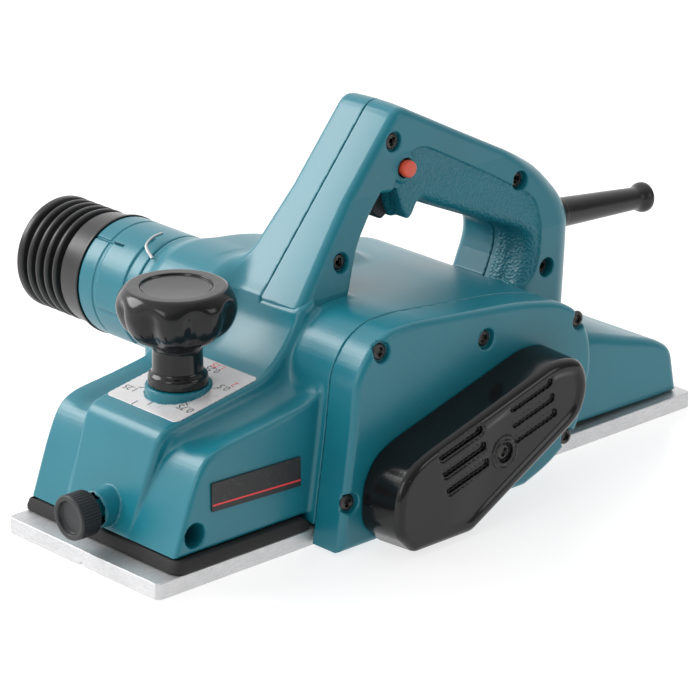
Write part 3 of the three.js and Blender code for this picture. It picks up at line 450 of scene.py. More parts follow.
def housing_field(x, y, z):
    """The whole moulding: outer shapes joined with fillets, then rooms and holes cut out."""
    block = overlap(block_field(x, y, z), -56 - y, 0.5)
    crown = 12 * np.clip((325 - x) / 45, 0, 1) * np.clip(1 - (y / 51) ** 2, 0, 1)
    tail = overlap(to_outline(TAIL_SIDE, x, z - crown), np.abs(y) - 51, 5)
    tail = np.maximum(tail, 8.5 - z)
    handle = handle_field(x, y, z)
    half_handle = overlap(handle, np.minimum(0.05 - y, np.maximum(z - 102.3, x - 200)), 0.45)
    whole = join(block, nose_field(x, y, z), 2.5)
    whole = join(whole, half_handle, 5)
    whole = join(whole, tail, 4)
    hood = overlap(to_outline(HOOD_SIDE, x, z), span(y, 22, 70), 9)
    whole = join(whole, hood, 12)
    skin = whole + 2.4
    pods = np.minimum(
        overlap(along_y(DRUM_AXIS, 19, x, z), span(y, 40, 67.5), 2),
        overlap(along_y(MOTOR_AXIS, 17, x, z), span(y, 40, 66), 2))
    socket = overlap(along_y(NOZZLE_AXIS, 30, x, z), span(y, 40, 75.7), 1)
    whole = join(join(whole, pods, 3), socket, 4)
    outlet = np.maximum(along_y(NOZZLE_AXIS, 27, x, z), 40 - y)
    whole = carve(whole, outlet, 0.6)
    drum_bay = np.maximum(along_y(DRUM_AXIS, 30, x, z), span(y, -56.5, 55.5))
    below_drum = np.maximum(span(x, 107, 150), np.maximum(span(y, -70, 55.5), z - 27))
    shoe_bay = np.maximum(span(x, 20, 150), np.maximum(span(y, -70, 55.5), z - 10.5))
    rear_bay = np.maximum(span(x, 137, 360), np.maximum(span(y, -70, 55.5), z - 8.5))
    motor_bay = np.maximum(along_y(MOTOR_AXIS, 33, x, z), span(y, -56.5, 55.5))
    chute = np.maximum(np.maximum(span(x, 104, 150), span(z, 50, 92)), span(y, -40, 50))
    for room in (motor_bay, chute):
        whole = cut(whole, np.maximum(room, skin))
    for room in (drum_bay, below_drum, shoe_bay, rear_bay):
        whole = cut(whole, room)
    around_thumb = np.hypot(y, z - THUMB_Z)
    whole = join(whole, overlap(around_thumb - 9.2, span(x, 8, 24), 1.4), 0.8)
    whole = carve(whole, along_y(ROD_AXIS, 6, x, z), 0.8)
    whole = cut(whole, np.maximum(around_thumb - 4.3, span(x, -9, 30)))
    around_knob = np.hypot(x - KNOB_X, y)
    boss = overlap(around_knob - 15.7, span(z, 50, 75.2), 0.5)
    post = np.maximum(around_knob - 10.6, z - 43.5)
    return cut(cut(np.minimum(whole, boss), post), around_knob - 5.3)


def slope_at(field, points, reach, start=None):
    """Direction in which the distance grows at each point."""
    slope = np.empty_like(points)
    here = field(*points.T) if start is None else start
    for axis in range(3):
        ahead = points.copy()
        ahead[:, axis] += reach
        slope[:, axis] = field(*ahead.T) - here
    return slope / reach


def moulded(name, field, low, high, cell, finish, body, slot, *nodes, cuts=(), marks=None):
    """Meshes a distance field between two corners: one point in each cell that the surface
    crosses, moved onto the surface, with normals from the field. cuts are x stations where the
    piece is split, and marks gives the value that its material reads at each point."""
    axes = [np.arange(low[i] - 1.7 * cell, high[i] + 2.7 * cell, cell, dtype=np.float32)
            for i in range(3)]
    shape = tuple(len(axis) for axis in axes)
    values = np.broadcast_to(field(axes[0][:, None, None], axes[1][None, :, None],
                                   axes[2][None, None, :]), shape).astype(np.float32)
    inside = values < 0
    corners = [(i, j, k) for i in (0, 1) for j in (0, 1) for k in (0, 1)]
    counts = sum(inside[i:shape[0] - 1 + i, j:shape[1] - 1 + j, k:shape[2] - 1 + k].astype(np.int8)
                 for i, j, k in corners)
    cells = np.argwhere((counts > 0) & (counts < 8))
    number = np.full(counts.shape, -1, np.int32)
    number[tuple(cells.T)] = np.arange(len(cells))
    held = {c: values[cells[:, 0] + c[0], cells[:, 1] + c[1], cells[:, 2] + c[2]] for c in corners}
    total = np.zeros((len(cells), 3))
    crossings = np.zeros(len(cells))
    for first in corners:
        for axis in range(3):
            if first[axis]:
                continue
            second = tuple(1 if i == axis else first[i] for i in range(3))
            a, b = held[first], held[second]
            crossed = (a < 0) != (b < 0)
            t = np.where(crossed, a / np.where(crossed, a - b, 1), 0)
            point = np.tile(np.array(first, float), (len(cells), 1))
            point[:, axis] = t
            total += point * crossed[:, None]
            crossings += crossed
    start = np.array([axis[0] for axis in axes])
    points = start + (cells + total / crossings[:, None]) * cell
    for _ in range(2):
        away = field(*points.T)
        slope = slope_at(field, points, 0.05, away)
        size = np.maximum((slope ** 2).sum(1), 0.05)
        move = -(away / size)[:, None] * slope
        length = np.maximum(np.sqrt((move ** 2).sum(1)), 1e-9)
        points += move * np.minimum(1, 0.4 * cell / length)[:, None]
    quads = []
    for axis in range(3):
        u, v = (axis + 1) % 3, (axis + 2) % 3
        before = [slice(None)] * 3
        after = [slice(None)] * 3
        before[axis], after[axis] = slice(0, -1), slice(1, None)
        change = inside[tuple(before)] != inside[tuple(after)]
        edge = np.argwhere(change)
        edge = edge[(edge[:, u] > 0) & (edge[:, v] > 0)
                    & (edge[:, u] < shape[u] - 1) & (edge[:, v] < shape[v] - 1)]
        solid_first = inside[tuple(edge.T)]
        ring = []
        for du, dv in ((-1, -1), (0, -1), (0, 0), (-1, 0)):
            at = edge.copy()
            at[:, u] += du
            at[:, v] += dv
            ring.append(number[tuple(at.T)])
        ring = np.stack(ring, 1)
        ring[~solid_first] = ring[~solid_first][:, ::-1]
        quads.append(ring)
    quads = np.concatenate(quads)
    normals = slope_at(field, points, 0.15 * cell) + slope_at(field, points, -0.15 * cell)
    normals /= np.maximum(np.sqrt((normals ** 2).sum(1)), 1e-9)[:, None]
    middle = points[quads].mean(1)[:, 0]
    stations = [-1e9, *cuts, 1e9]
    made = []
    for part in range(len(stations) - 1):
        chosen = quads[(middle >= stations[part]) & (middle < stations[part + 1])]
        used, renumbered = np.unique(chosen, return_inverse=True)
        chosen = renumbered.reshape(chosen.shape)
        mesh = bpy.data.meshes.new(name)
        mesh.vertices.add(len(used))
        mesh.vertices.foreach_set("co", to_metres(points[used]).ravel())
        mesh.loops.add(chosen.size)
        mesh.loops.foreach_set("vertex_index", chosen.ravel())
        mesh.polygons.add(len(chosen))
        mesh.polygons.foreach_set("loop_start", np.arange(0, chosen.size, 4))
        mesh.update(calc_edges=True)
        mesh.shade_smooth()
        mesh.normals_split_custom_set_from_vertices(normals[used].tolist())
        mesh.materials.append(finish)
        if marks:
            mark = mesh.attributes.new("texture_mark", "FLOAT", "POINT")
            mark.data.foreach_set("value", marks(*points[used].T).astype(np.float32))
        piece = as_piece(name if not cuts else f"{name}_{part + 1}", mesh, body)
        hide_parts(*nodes)
        made.append(piece)
    return made


def teal_plastic():
    """Satin moulded plastic: fine spark-eroded grain, slow clouding, dust and a few scuffs. The
    grip panel carries a coarse pebble texture where the mesh is marked for it."""
    finish = Finish("TealShell", Specular_IOR_Level=0.55, IOR=1.5)
    cloud = finish.noise(16.0, 4.0)
    grain = finish.noise(1900.0, 2.0)
    fine = finish.noise(5200.0, 2.0)
    marked = finish.node("ShaderNodeAttribute", {"attribute_name": "texture_mark"}, output="Fac")
    pebble = finish.node("ShaderNodeTexVoronoi", {"feature": "SMOOTH_F1"},
                         {"Vector": finish.place, "Scale": 780.0, "Smoothness": 0.6})
    strokes = finish.noise(1.0, 3.0, 0.5, finish.stretched(900.0, 900.0, 90.0))
    scuffs = finish.between(strokes, 0.7, 0.78)
    dust = finish.between(finish.noise(420.0, 2.0), 0.74, 0.8)
    tone = finish.blend(finish.between(cloud, 0.3, 0.7),
                        (0.0022, 0.150, 0.202, 1), (0.0045, 0.172, 0.230, 1))
    speckled = finish.blend(grain * 0.16, tone, (0.05, 0.30, 0.36, 1))
    dusted = finish.blend(dust * 0.22 + scuffs * 0.06, speckled, (0.30, 0.45, 0.48, 1))
    skin = finish.relief(grain * 0.8 + fine * 0.2, 0.00005)
    return finish.drive(
        Base_Color=dusted,
        Roughness=cloud * 0.1 + grain * 0.08 + marked * 0.12 + 0.22,
        Normal=finish.relief(pebble * marked, 0.0006, over=skin))


TEAL = teal_plastic()
moulded("housing_shell", housing_field, (10, -56, 1.5), (350, 75.7, 189), 1.15, TEAL, "housing",
        "teal_shell", "main_housing", cuts=(108, 236))


# Cutter: a steel drum with two carbide-tipped blades and their clamps, in ball bearings. All of
# it spins about the drum's axis.
DARK_STEEL = ground_steel("BlackenedSteel", (0.09, 0.088, 0.086), 0.42, (300.0, 2500.0, 300.0))
DRUM_STEEL = ground_steel("TurnedSteel", (0.55, 0.55, 0.56), 0.3, (2600.0, 60.0, 2600.0))
dress(DRUM_STEEL, "bright_steel", "drum", "blade_1", "blade_2", "drum_bearing_belt_side",
      "drum_bearing_chip_side")
dress(DARK_STEEL, "black_steel", "blade_clamp_1", "blade_clamp_2")

# Motor: laminated steel and copper parts on the armature's shaft, and a plastic fan. The stator
# and the brush holders are fixed in the housing.


def fan_plastic():
    """Dark moulded plastic, faintly glossy, with dust settled on it."""
    finish = Finish("FanPlastic")
    cloud = finish.noise(60.0, 4.0)
    dust = finish.between(finish.noise(500.0, 3.0), 0.55, 0.8)
    tone = finish.blend(cloud, (0.010, 0.010, 0.011, 1), (0.022, 0.022, 0.023, 1))
    return finish.drive(
        Base_Color=finish.blend(dust * 0.3, tone, (0.12, 0.11, 0.1, 1)),
        Roughness=cloud * 0.2 + 0.35,
        Normal=finish.relief(finish.noise(2200.0, 2.0), 0.00003))


COPPER = ground_steel("DrawnCopper", (0.72, 0.36, 0.2), 0.34, (300.0, 2400.0, 300.0))
CARBON = matte_rubber("PressedCarbon", 0.02, 0.7)
FAN_PLASTIC = fan_plastic()
dress(DRUM_STEEL, "bright_steel", "armature_shaft", "motor_bearing_belt_side",
      "motor_bearing_chip_side", "motor_pulley")
dress(DARK_STEEL, "black_steel", "armature_core", "stator")
dress(COPPER, "copper_alloy", "commutator", "brush_holder_upper", "brush_holder_lower")
dress(CARBON, "carbon", "carbon_brush_upper", "carbon_brush_lower")
dress(FAN_PLASTIC, "black_gloss", "fan")

# Belt drive: two flanged pulleys on the shaft ends and a rubber belt. They sit in the belt
# cover and show only when it is off.
dress(ALUMINIUM, "shoe_aluminium", "drum_pulley")
dress(RUBBER, "rubber", "drive_belt")

# Belt case: the teal side plate that carries the belt-side bearings. It is a separate moulding,
# screwed to the housing along a fine seam, with sunk seats for its five screws.
CASE_SCREWS = ((121.2, 94.8), (188.5, 84.3), (252.2, 78.0), (100.7, 25.3), (245.2, 18.7))
COVER_SIDE = curve_through([
    (119, 1.0, 3), (107, 13.0, 6), (107.5, 31.3, 8), (114, 43.3, 9), (124, 49.5, 9),
    (212, 74.8, 8), (230, 72.0, 9), (235.5, 58, 8), (232, 45, 8), (226.5, 38.5, 6),
    (156.8, 1.0, 3)], 8)


def case_field(x, y, z):
    """The side plate, with its screw seats and a stepped hole for each bearing and shaft."""
    side = to_outline(BLOCK_SIDE, x, z)
    whole = overlap(overlap(side, -75 - y, 3.6), y + 56.3, 0.5)
    for seat in CASE_SCREWS:
        well = np.maximum(along_y(seat, 5.1, x, z), y + 71.8)
        whole = cut(carve(whole, well, 0.8), along_y(seat, 2.4, x, z))
    for axis, radius in ((DRUM_AXIS, 15.5), (MOTOR_AXIS, 13.5)):
        pocket = np.maximum(along_y(axis, radius, x, z), -67.2 - y)
        whole = cut(whole, np.minimum(pocket, along_y(axis, 8, x, z)))
    return whole


moulded("belt_case_shell", case_field, (93, -75, 1.5), (262, -56.3, 104.5), 0.95, TEAL, "housing",
        "teal_shell", "belt_case")

# Belt cover: a deep glossy black moulding over the pulleys, with two groups of three slots and
# one screw in a ringed boss. Its sides draw in a little towards the flat outer face.
COVER_SCREW = (177.2, 37.0)
SLOT_ROWS = [(148.5 + 2.4 * row, 49.6 - 9.0 * row) for row in range(3)]
SLOT_ROWS += [(195.0 + 1.6 * row, 61.0 - 8.2 * row) for row in range(3)]
SLOT_LEAN = math.atan(0.27)


def gloss_black():
    """Polished black moulding: deep shine with hairline scratches, faint ripple and dust."""
    finish = Finish("GlossBlack", Specular_IOR_Level=0.34, Coat_Weight=0.08,
                    Coat_Roughness=0.06)
    cloud = finish.noise(26.0, 4.0)
    strokes = finish.noise(1.0, 3.0, 0.6, finish.stretched(2200.0, 500.0, 260.0))
    hairs = finish.between(strokes, 0.64, 0.72)
    dust = finish.between(finish.noise(520.0, 2.0), 0.76, 0.8)
    ripple = finish.noise(110.0, 2.0)
    tone = finish.blend(cloud, (0.0045, 0.0047, 0.005, 1), (0.0095, 0.0098, 0.0105, 1))
    return finish.drive(
        Base_Color=finish.blend(dust * 0.35, tone, (0.28, 0.28, 0.27, 1)),
        Roughness=cloud * 0.08 + hairs * 0.1 + 0.13,
        Normal=finish.relief(ripple, 0.00008))


def cover_field(x, y, z):
    """The cover: drafted sides, a dished face, the screw's ringed boss and the slots."""
    draft = 0.05 * (-75.3 - y)
    side = to_outline(COVER_SIDE, x, z) + draft
    dish = 1.3 * step(-side, 4.5, 8.5) * step(x - 0.35 * (z - 40), 146, 176)
    whole = overlap(side, -100 + dish - y, 4.2)
    whole = overlap(whole, y + 75.3, 0.6)
    boss = overlap(along_y(COVER_SCREW, 8.6, x, z), -99.6 - y, 1.0)
    whole = np.minimum(whole, np.maximum(boss, y + 90))
    ring = np.hypot(along_y(COVER_SCREW, 6.9, x, z), y + 99.6) - 0.55
    well = np.maximum(along_y(COVER_SCREW, 5.0, x, z), y + 97.4)
    whole = carve(carve(whole, ring, 0.5), well, 0.5)
    for middle_x, middle_z in SLOT_ROWS:
        along = (x - middle_x) * math.cos(SLOT_LEAN) + (z - middle_z) * math.sin(SLOT_LEAN)
        across = (z - middle_z) * math.cos(SLOT_LEAN) - (x - middle_x) * math.sin(SLOT_LEAN)
        slot = np.hypot(np.maximum(np.abs(along) - 12.4, 0), across) - 2.15
        rim = np.maximum(slot - 1.0, y + 99.1)
        whole = cut(carve(whole, rim, 0.5), np.maximum(slot, y + 97.1))
    inside = np.maximum(to_outline(COVER_SIDE, x, z) + 3.2, -96.8 - y)
    return cut(whole, np.minimum(inside, along_y(COVER_SCREW, 2.3, x, z)))


GLOSS_BLACK = gloss_black()
moulded("belt_cover_shell", cover_field, (106.5, -100, 0.8), (236, -75.3, 75.5), 0.72, GLOSS_BLACK,
        "housing", "black_gloss", "belt_cover")

# Handle cover: the belt-side half of the looped handle, screwed to the housing along the middle
# plane. Its grip is sunk a little and pebbled; a rounded boss surrounds the lock button.
HANDLE_SCREWS = ((142.4, 120.5, -23.2), (180.0, 171.4, -20.0), (263.5, 133.8, -20.0),
                 (278.3, 86.3, -23.4))
LOCK_AXIS = (187.2, 157.0)
GRIP_PANEL = curve_through([
    (183, 157, 2), (189.4, 163.5, 4), (196.5, 166.2, 4), (204, 164, 4), (240, 144.2, 6),
    (262, 131.2, 6), (272.5, 124.2, 6), (275, 115, 6), (274.2, 95, 6), (270, 83, 6), (262, 79, 4),
    (240, 82), (240, 100), (205, 120), (176, 132), (178.5, 147, 3)], 6)


def grip_mark(x, y, z):
    """1 on the pebbled panel, 0 off it."""
    return step(-to_outline(GRIP_PANEL, x, z), -0.2, 0.8) * step(-y, 2.5, 4.0)


def handle_cover_field(x, y, z):
    """The belt-side half of the handle, cut off where it meets the block."""
    panel = to_outline(GRIP_PANEL, x, z)
    sunk = 1.3 * step(-panel, 0, 1.2) * step(-y, 8, 13)
    whole = handle_field(x, y, z) + sunk
    for seat_x, seat_z, face in HANDLE_SCREWS:
        well = np.maximum(along_y((seat_x, seat_z), 4.9, x, z), y - face - 2.6)
        whole = carve(whole, well, 0.7)
    lip = overlap(along_y(LOCK_AXIS, 7.6, x, z), -20.3 - y, 1.4)
    whole = join(whole, np.maximum(lip, y + 8), 1.2)
    whole = cut(whole, along_y(LOCK_AXIS, 4.7, x, z))
    whole = overlap(whole, y + 0.3, 0.45)
    whole = overlap(whole, 102.9 - z - 1e3 * step(x, 198, 202), 0.5)
    return cut(whole, block_field(x, y, z) - 0.35)


moulded("handle_cover_shell", handle_cover_field, (113, -26.2, 46), (301, -0.3, 189), 0.8, TEAL,
        "housing", "teal_shell", "handle_cover", marks=grip_mark)

# Trigger, lock button and switch: the trigger turns on a cross pin and squeezes the switch; the
# orange lock button is a turned plastic pin that slides in from the belt side.


def moulded_grey():
    """Dark grey plastic with fine grain, rubbed smoother in patches."""
    finish = Finish("DarkGreyPlastic")
    cloud = finish.noise(120.0, 3.0)
    grain = finish.noise(2400.0, 2.0)
    return finish.drive(
        Base_Color=finish.blend(cloud, (0.010, 0.011, 0.012, 1), (0.022, 0.023, 0.025, 1)),
        Roughness=cloud * 0.2 + grain * 0.1 + 0.32,
        Normal=finish.relief(grain, 0.00004))


def orange_plastic():
    """Bright orange-red plastic, glossy, slightly paler where light gets into it."""
    finish = Finish("OrangePlastic", Coat_Weight=0.2, Subsurface_Weight=0.05)
    cloud = finish.noise(260.0, 3.0)
    return finish.drive(
        Base_Color=finish.blend(cloud, (0.66, 0.062, 0.026, 1), (0.80, 0.10, 0.045, 1)),
        Roughness=cloud * 0.15 + 0.24,
        Normal=finish.relief(finish.noise(1800.0, 2.0), 0.00003))


def turned(name, profile, place, direction, finish, body, around=96, radius_at=None,
           smooth_under=38):
    """A turned piece: profile is (radius, height) from one end to the other, place the axis's
    start and direction its way. radius_at(radius, height, angle) may shape it further."""
    along = Vector(direction).normalized()
    side = along.orthogonal().normalized() if abs(along.z) < 0.9 else Vector((1, 0, 0))
    third = along.cross(side)
    points, rings = [], []
    for radius, height in profile:
        centre = Vector(place) + along * height
        if radius == 0:
            rings.append([len(points)])
            points.append(centre)
            continue
        ring = []
        for i in range(around):
            angle = 2 * math.pi * i / around
            reach = radius_at(radius, height, angle) if radius_at else radius
            ring.append(len(points))
            points.append(centre + (side * math.cos(angle) + third * math.sin(angle)) * reach)
        rings.append(ring)
    faces = []
    closed = len(rings[0]) > 1 and len(rings[-1]) > 1
    for k in range(len(rings) if closed else len(rings) - 1):
        low_ring, high_ring = rings[k], rings[(k + 1) % len(rings)]
        for i in range(around):
            j = (i + 1) % around
            if len(low_ring) == 1:
                faces.append((low_ring[0], high_ring[j], high_ring[i]))
            elif len(high_ring) == 1:
                faces.append((low_ring[i], low_ring[j], high_ring[0]))
            else:
                faces.append((low_ring[i], low_ring[j], high_ring[j], high_ring[i]))
    return make_piece(name, points, faces, finish, body, smooth_under)


GREY_PLASTIC = moulded_grey()
dress(GREY_PLASTIC, "grey_plastic", "trigger", soften=0.0012)
dress(STEEL, "bright_steel", "trigger_pin")
dress(FAN_PLASTIC, "black_matte", "switch_body", soften=0.0006)
lock = turned("lock_pin_turned", curve_through([
    (0, 0), (4.2, 0.15, 1.1), (4.2, 3.2, 0.3), (3.7, 3.5, 0.3), (3.7, 11.8, 0.3), (0, 12)], 3),
    (LOCK_AXIS[0], -24.3, LOCK_AXIS[1]), (0, 1, 0), orange_plastic(), "lock_pin", 48)
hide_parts("lock_button")

# Screws: blackened pan-head screws with a cross recess, in the sunk seats of the handle, the
# belt case and the belt cover.


def screw_field(x, y, z):
    """A domed head on the plane y = 0 with a tapering cross recess."""
    around = np.hypot(x, z)
    crown = np.sqrt(around ** 2 + (y - 9.2) ** 2) - 9.2
    head = overlap(np.maximum(crown, y - 2.5), around - 4.0, 0.5)
    arm = 0.85 + 0.12 * (2.0 - y)
    taper = 2.5 - 0.55 * y
    cross = np.minimum(np.maximum(np.abs(x) - arm, np.abs(z) - taper),
                       np.maximum(np.abs(z) - arm, np.abs(x) - taper))
    return carve(head, np.maximum(cross, y - 1.9), 0.25)


screw_head = moulded("screw_pattern", screw_field, (-4.2, -0.2, -4.2), (4.2, 2.7, 4.2), 0.2,
                     DARK_STEEL, "housing", "black_steel")[0]
seats = [(f"handle_screw_{i + 1}", place[:2], place[2] + 0.7, 20 * i + 8)
         for i, place in enumerate(HANDLE_SCREWS)]
seats += [(f"case_screw_{i + 1}", place, -73.6, 37 * i + 15) for i, place in enumerate(CASE_SCREWS)]
seats += [("cover_screw", COVER_SCREW, -98.9, 30)]
for node, (seat_x, seat_z), face, turn in seats:
    mesh = screw_head.data.copy()
    to_axis = Matrix.Translation((-NOSE_X / 1000, 0, 0))
    turned_by = Matrix.Rotation(math.radians(turn), 4, "Y")
    to_seat = Matrix.Translation(((seat_x + NOSE_X) / 1000, face / 1000, seat_z / 1000))
    mesh.transform(to_seat @ turned_by @ to_axis)
    head = as_piece(f"{node}_head", mesh, "housing")
    dress(DARK_STEEL, "black_steel", node)
    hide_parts(node)
bpy.data.objects.remove(screw_head)
dress(STEEL, "bright_steel", *[f"shoe_screw_{i}" for i in range(1, 5)], soften=0.0002)

# Chip outlet: a teal tube pushed onto the housing's socket, with a raised collar, flats and a
# bent wire clip, and a soft black cuff of five ribs that takes a hose.


def outlet_field(x, y, z):
    """The tube, with a raised band and lug towards the front, a groove and a seam slot."""
    around = along_y(NOZZLE_AXIS, 30, x, z)
    whole = overlap(around, span(y, 76, 118), 1.0)
    upper = np.maximum(around - 0.9, NOZZLE_AXIS[1] - 22 - z)
    band = np.maximum(overlap(upper, span(y, 84, 104), 0.8), span(x, 96, 118))
    groove = np.hypot(np.maximum(np.abs(y - 106.5) - 0.2, 0), around) - 0.5
    whole = carve(join(whole, band, 0.6), groove, 0.4)
    facing = np.arctan2(z - NOZZLE_AXIS[1], NOZZLE_AXIS[0] - x)
    lug = np.maximum(np.maximum(span(y, 86, 103), np.abs(facing - 0.18) * 30 - 11), around - 0.9)
    whole = join(whole, cut(lug, around + 2), 0.4)
    seam_slot = np.maximum(np.abs(facing - 0.95) * 30 - 0.5, span(y, 96, 119))
    whole = cut(whole, np.maximum(seam_slot, -0.7 - around))
    return cut(whole, around + 3)


moulded("chip_outlet_tube", outlet_field, (95, 76, 51), (157, 118, 113.5), 0.8, TEAL, "housing",
        "teal_shell", "chip_nozzle")
dress(STEEL, "bright_steel", "wire_clip", soften=0.0001)

RIBBED_RUBBER = matte_rubber("CuffRubber", 0.009, 0.3)
cuff_profile = [(30.5, 119.3), (30.5, 120.4, 0.6), (28.9, 121.4, 0.5), (28.5, 133.6, 0.6)]
for rib in range(5):
    start = 134.4 + 6.6 * rib
    cuff_profile += [(25.2, start + 1.0, 0.9), (25.2, start + 2.2, 0.8), (28.8, start + 3.3, 1.3),
                     (28.8, start + 6.1, 1.3)]
cuff_profile[-1:] = [(29.0, 168, 0.8), (24.0, 168, 0.8), (23.2, 160, 1), (23.2, 118.3, 0.4),
                     (30.5, 118.3, 0.4), (30.5, 119.3)]
cuff = turned("cuff_ribbed", curve_through(cuff_profile, 4)[:-1], (NOZZLE_AXIS[0], 0, NOZZLE_AXIS[1]),
              (0, 1, 0), RIBBED_RUBBER, "housing", 128, smooth_under=50)
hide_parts("nozzle_cuff")

# Scale plate: a thin printed plate around the knob's boss, pale grey with black depth figures
# and ticks, and two more in red. It is stuck to the sloping top of the nose.
PLATE_START, PLATE_END = (37.4, 68.8), (88.2, 77.35)
plate_slope = math.atan2(PLATE_END[1] - PLATE_START[1], PLATE_END[0] - PLATE_START[0])
INK_LIFT = 0.03


def on_plate(along, across, lift):
    """A point on the plate, from its front edge, its middle line and its surface."""
    return np.stack([PLATE_START[0] + along * math.cos(plate_slope) - lift * math.sin(plate_slope),
                     across + 0 * along,
                     PLATE_START[1] + along * math.sin(plate_slope) + lift * math.cos(plate_slope)], -1)


def printed_plate():
    """Pale enamelled plate with faint smudges and a soft shine."""
    finish = Finish("PrintedPlate", Metallic=0.1)
    cloud = finish.noise(60.0, 4.0)
    smudge = finish.between(finish.noise(160.0, 4.0), 0.5, 0.75)
    tone = finish.blend(cloud, (0.60, 0.585, 0.59, 1), (0.70, 0.69, 0.695, 1))
    return finish.drive(
        Base_Color=finish.blend(smudge * 0.04, tone, (0.4, 0.4, 0.4, 1)),
        Roughness=smudge * 0.15 + 0.22,
        Normal=finish.relief(finish.noise(900.0, 2.0), 0.00002))


def ink(name, shade):
    """Printing ink with slightly uneven cover."""
    finish = Finish(name)
    wear = finish.noise(900.0, 3.0)
    return finish.drive(
        Base_Color=finish.blend(wear, shade, tuple(min(1, s * 1.6 + 0.01) for s in shade[:3]) + (1,)),
        Roughness=wear * 0.2 + 0.3)


def plate_field(x, y, z):
    """The plate lying on the slope, with rounded corners and a round hole for the boss."""
    along = (x - PLATE_START[0]) * math.cos(plate_slope) + (z - PLATE_START[1]) * math.sin(plate_slope)
    lift = (z - PLATE_START[1]) * math.cos(plate_slope) - (x - PLATE_START[0]) * math.sin(plate_slope)
    length = (PLATE_END[0] - PLATE_START[0]) / math.cos(plate_slope)
    corner = 2.6
    dx = np.maximum(np.abs(along - length / 2) - length / 2 + corner, 0)
    dy = np.maximum(np.abs(y) - 25.4 + corner, 0)
    plan = np.hypot(dx, dy) - corner
    plan = cut(plan, np.hypot(x - KNOB_X, y) - 16.0)
    return overlap(plan, np.abs(lift + 0.35) - 0.35, 0.15)


moulded("scale_plate_printed", plate_field, (37, -25.5, 67.4), (89, 25.5, 78.2), 0.55,
        printed_plate(), "housing", "printed_plate", "scale_plate")
BLACK_INK = ink("BlackInk", (0.012, 0.012, 0.014, 1))
RED_INK = ink("RedInk", (0.62, 0.03, 0.035, 1))
knob_along = (KNOB_X - PLATE_START[0]) / math.cos(plate_slope)
figures = [("1", 163, 22.2, BLACK_INK, 4.6), ("0.75", -122, 22.0, BLACK_INK, 4.4),
           ("0.5", -56, 22.4, BLACK_INK, 4.2), ("2", -50, 27.0, RED_INK, 4.2),
           ("0.25", 0, 21.6, BLACK_INK, 3.9), ("1.75", 0, 25.4, RED_INK, 3.9),
           ("1.25", 124, 23.2, BLACK_INK, 3.9)]
for number, (figure, angle, reach, colour, tall) in enumerate(figures):
    text = bpy.data.curves.new(f"figure_{number}", "FONT")
    text.body, text.size = figure, tall * 1.35
    text.align_x, text.align_y = "CENTER", "CENTER"
    text.resolution_u = 4
    holder = bpy.data.objects.new("figure_holder", text)
    drawn = bpy.data.meshes.new_from_object(holder)
    bpy.data.objects.remove(holder)
    flat = np.array([vertex.co for vertex in drawn.vertices])
    turn = math.radians(angle)
    along = knob_along + reach * math.cos(turn) - flat[:, 1]
    across = reach * math.sin(turn) + flat[:, 0]
    placed = on_plate(along, across, INK_LIFT)
    outlines = [list(face.vertices) for face in drawn.polygons]
    make_piece(f"scale_figure_{number + 1}", placed, outlines, colour, "housing")
for number, angle in enumerate(range(0, 360, 60)):
    turn = math.radians(angle + 2)
    out = np.array([math.cos(turn), math.sin(turn)])
    wide = np.array([-out[1], out[0]]) * 0.28
    corners = [out * 16.6 - wide, out * 16.6 + wide, out * 19.6 + wide, out * 19.6 - wide]
    placed = [on_plate(np.array(knob_along + c[0]), np.array(c[1]), INK_LIFT) for c in corners]
    make_piece(f"scale_tick_{number + 1}", placed, [(0, 1, 2, 3)], BLACK_INK, "housing")

# Depth knob: a glossy black moulding with eight finger hollows on a turned neck. It screws the front shoe
# up and down, and a round disc closes its top; the disc is given the same gloss black as the knob.
dress(STEEL, "bright_steel", "adjusting_screw")
knob_profile = curve_through([
    (5.3, 75.5), (14.2, 75.5, 0.6), (14.2, 80.2, 1.2), (12.1, 82.2, 1.2), (11.8, 94.2, 3.0),
    (15.5, 96.6, 3.0), (24.5, 101.6, 6.0), (28.6, 110.6, 6.0), (28.1, 118.0, 4.5), (24.6, 122.6, 2.4),
    (23.0, 123.4, 0.6), (17.4, 123.4, 0.5), (16.9, 122.2, 0.3), (5.3, 122.2)], 8)


def finger_hollows(radius, height, angle):
    """Eight hollows round the knob, which fade out towards its neck and its top."""
    turn = (angle * 8 / (2 * math.pi)) % 1.0
    hollow = math.exp(-((turn - 0.5) / 0.23) ** 2)
    depth = 3.4 * step(height, 96, 103) * (1 - step(height, 113.5, 121.5))
    return radius - depth * hollow


knob = turned("depth_knob_lobed", knob_profile, (KNOB_X, 0, 0), (0, 0, 1), GLOSS_BLACK,
              "depth_setting", 192, finger_hollows, 60)
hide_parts("depth_knob")
disc = turned("knob_disc_turned", curve_through([
    (0, 122.35), (15.9, 122.35, 0.3), (16.4, 122.75, 0.3), (16.4, 121.9), (0, 121.8)], 3),
    (KNOB_X, 0, 0), (0, 0, 1), GLOSS_BLACK, "depth_setting", 96)
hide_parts("knob_disc")

# Thumb screw: a knurled matte black head with a dished face, on a short shank. It clamps the
# edge guide's rod in its cross hole.
thumb_profile = curve_through([
    (0, 2.2), (7.6, 2.2, 0.5), (8.3, 0.2, 0.4), (10.4, 0.0, 0.5), (11.0, 0.9, 0.4), (11.0, 11.0, 0.6),
    (9.6, 12.0, 0.3), (4.2, 12.0, 0.3), (4.0, 25.0, 0.4), (0, 25.6)], 3)


def knurl(radius, height, angle):
    """Forty-four grooves round the head's rim, which run out at both edges."""
    if radius <= 10.2:
        return radius
    ridge = 0.5 + 0.5 * math.cos(angle * 44)
    rim = np.clip((height - 0.9) / 0.8, 0, 1) * np.clip((11.3 - height) / 0.8, 0, 1)
    return radius - 0.55 * (1 - ridge ** 0.7) * rim


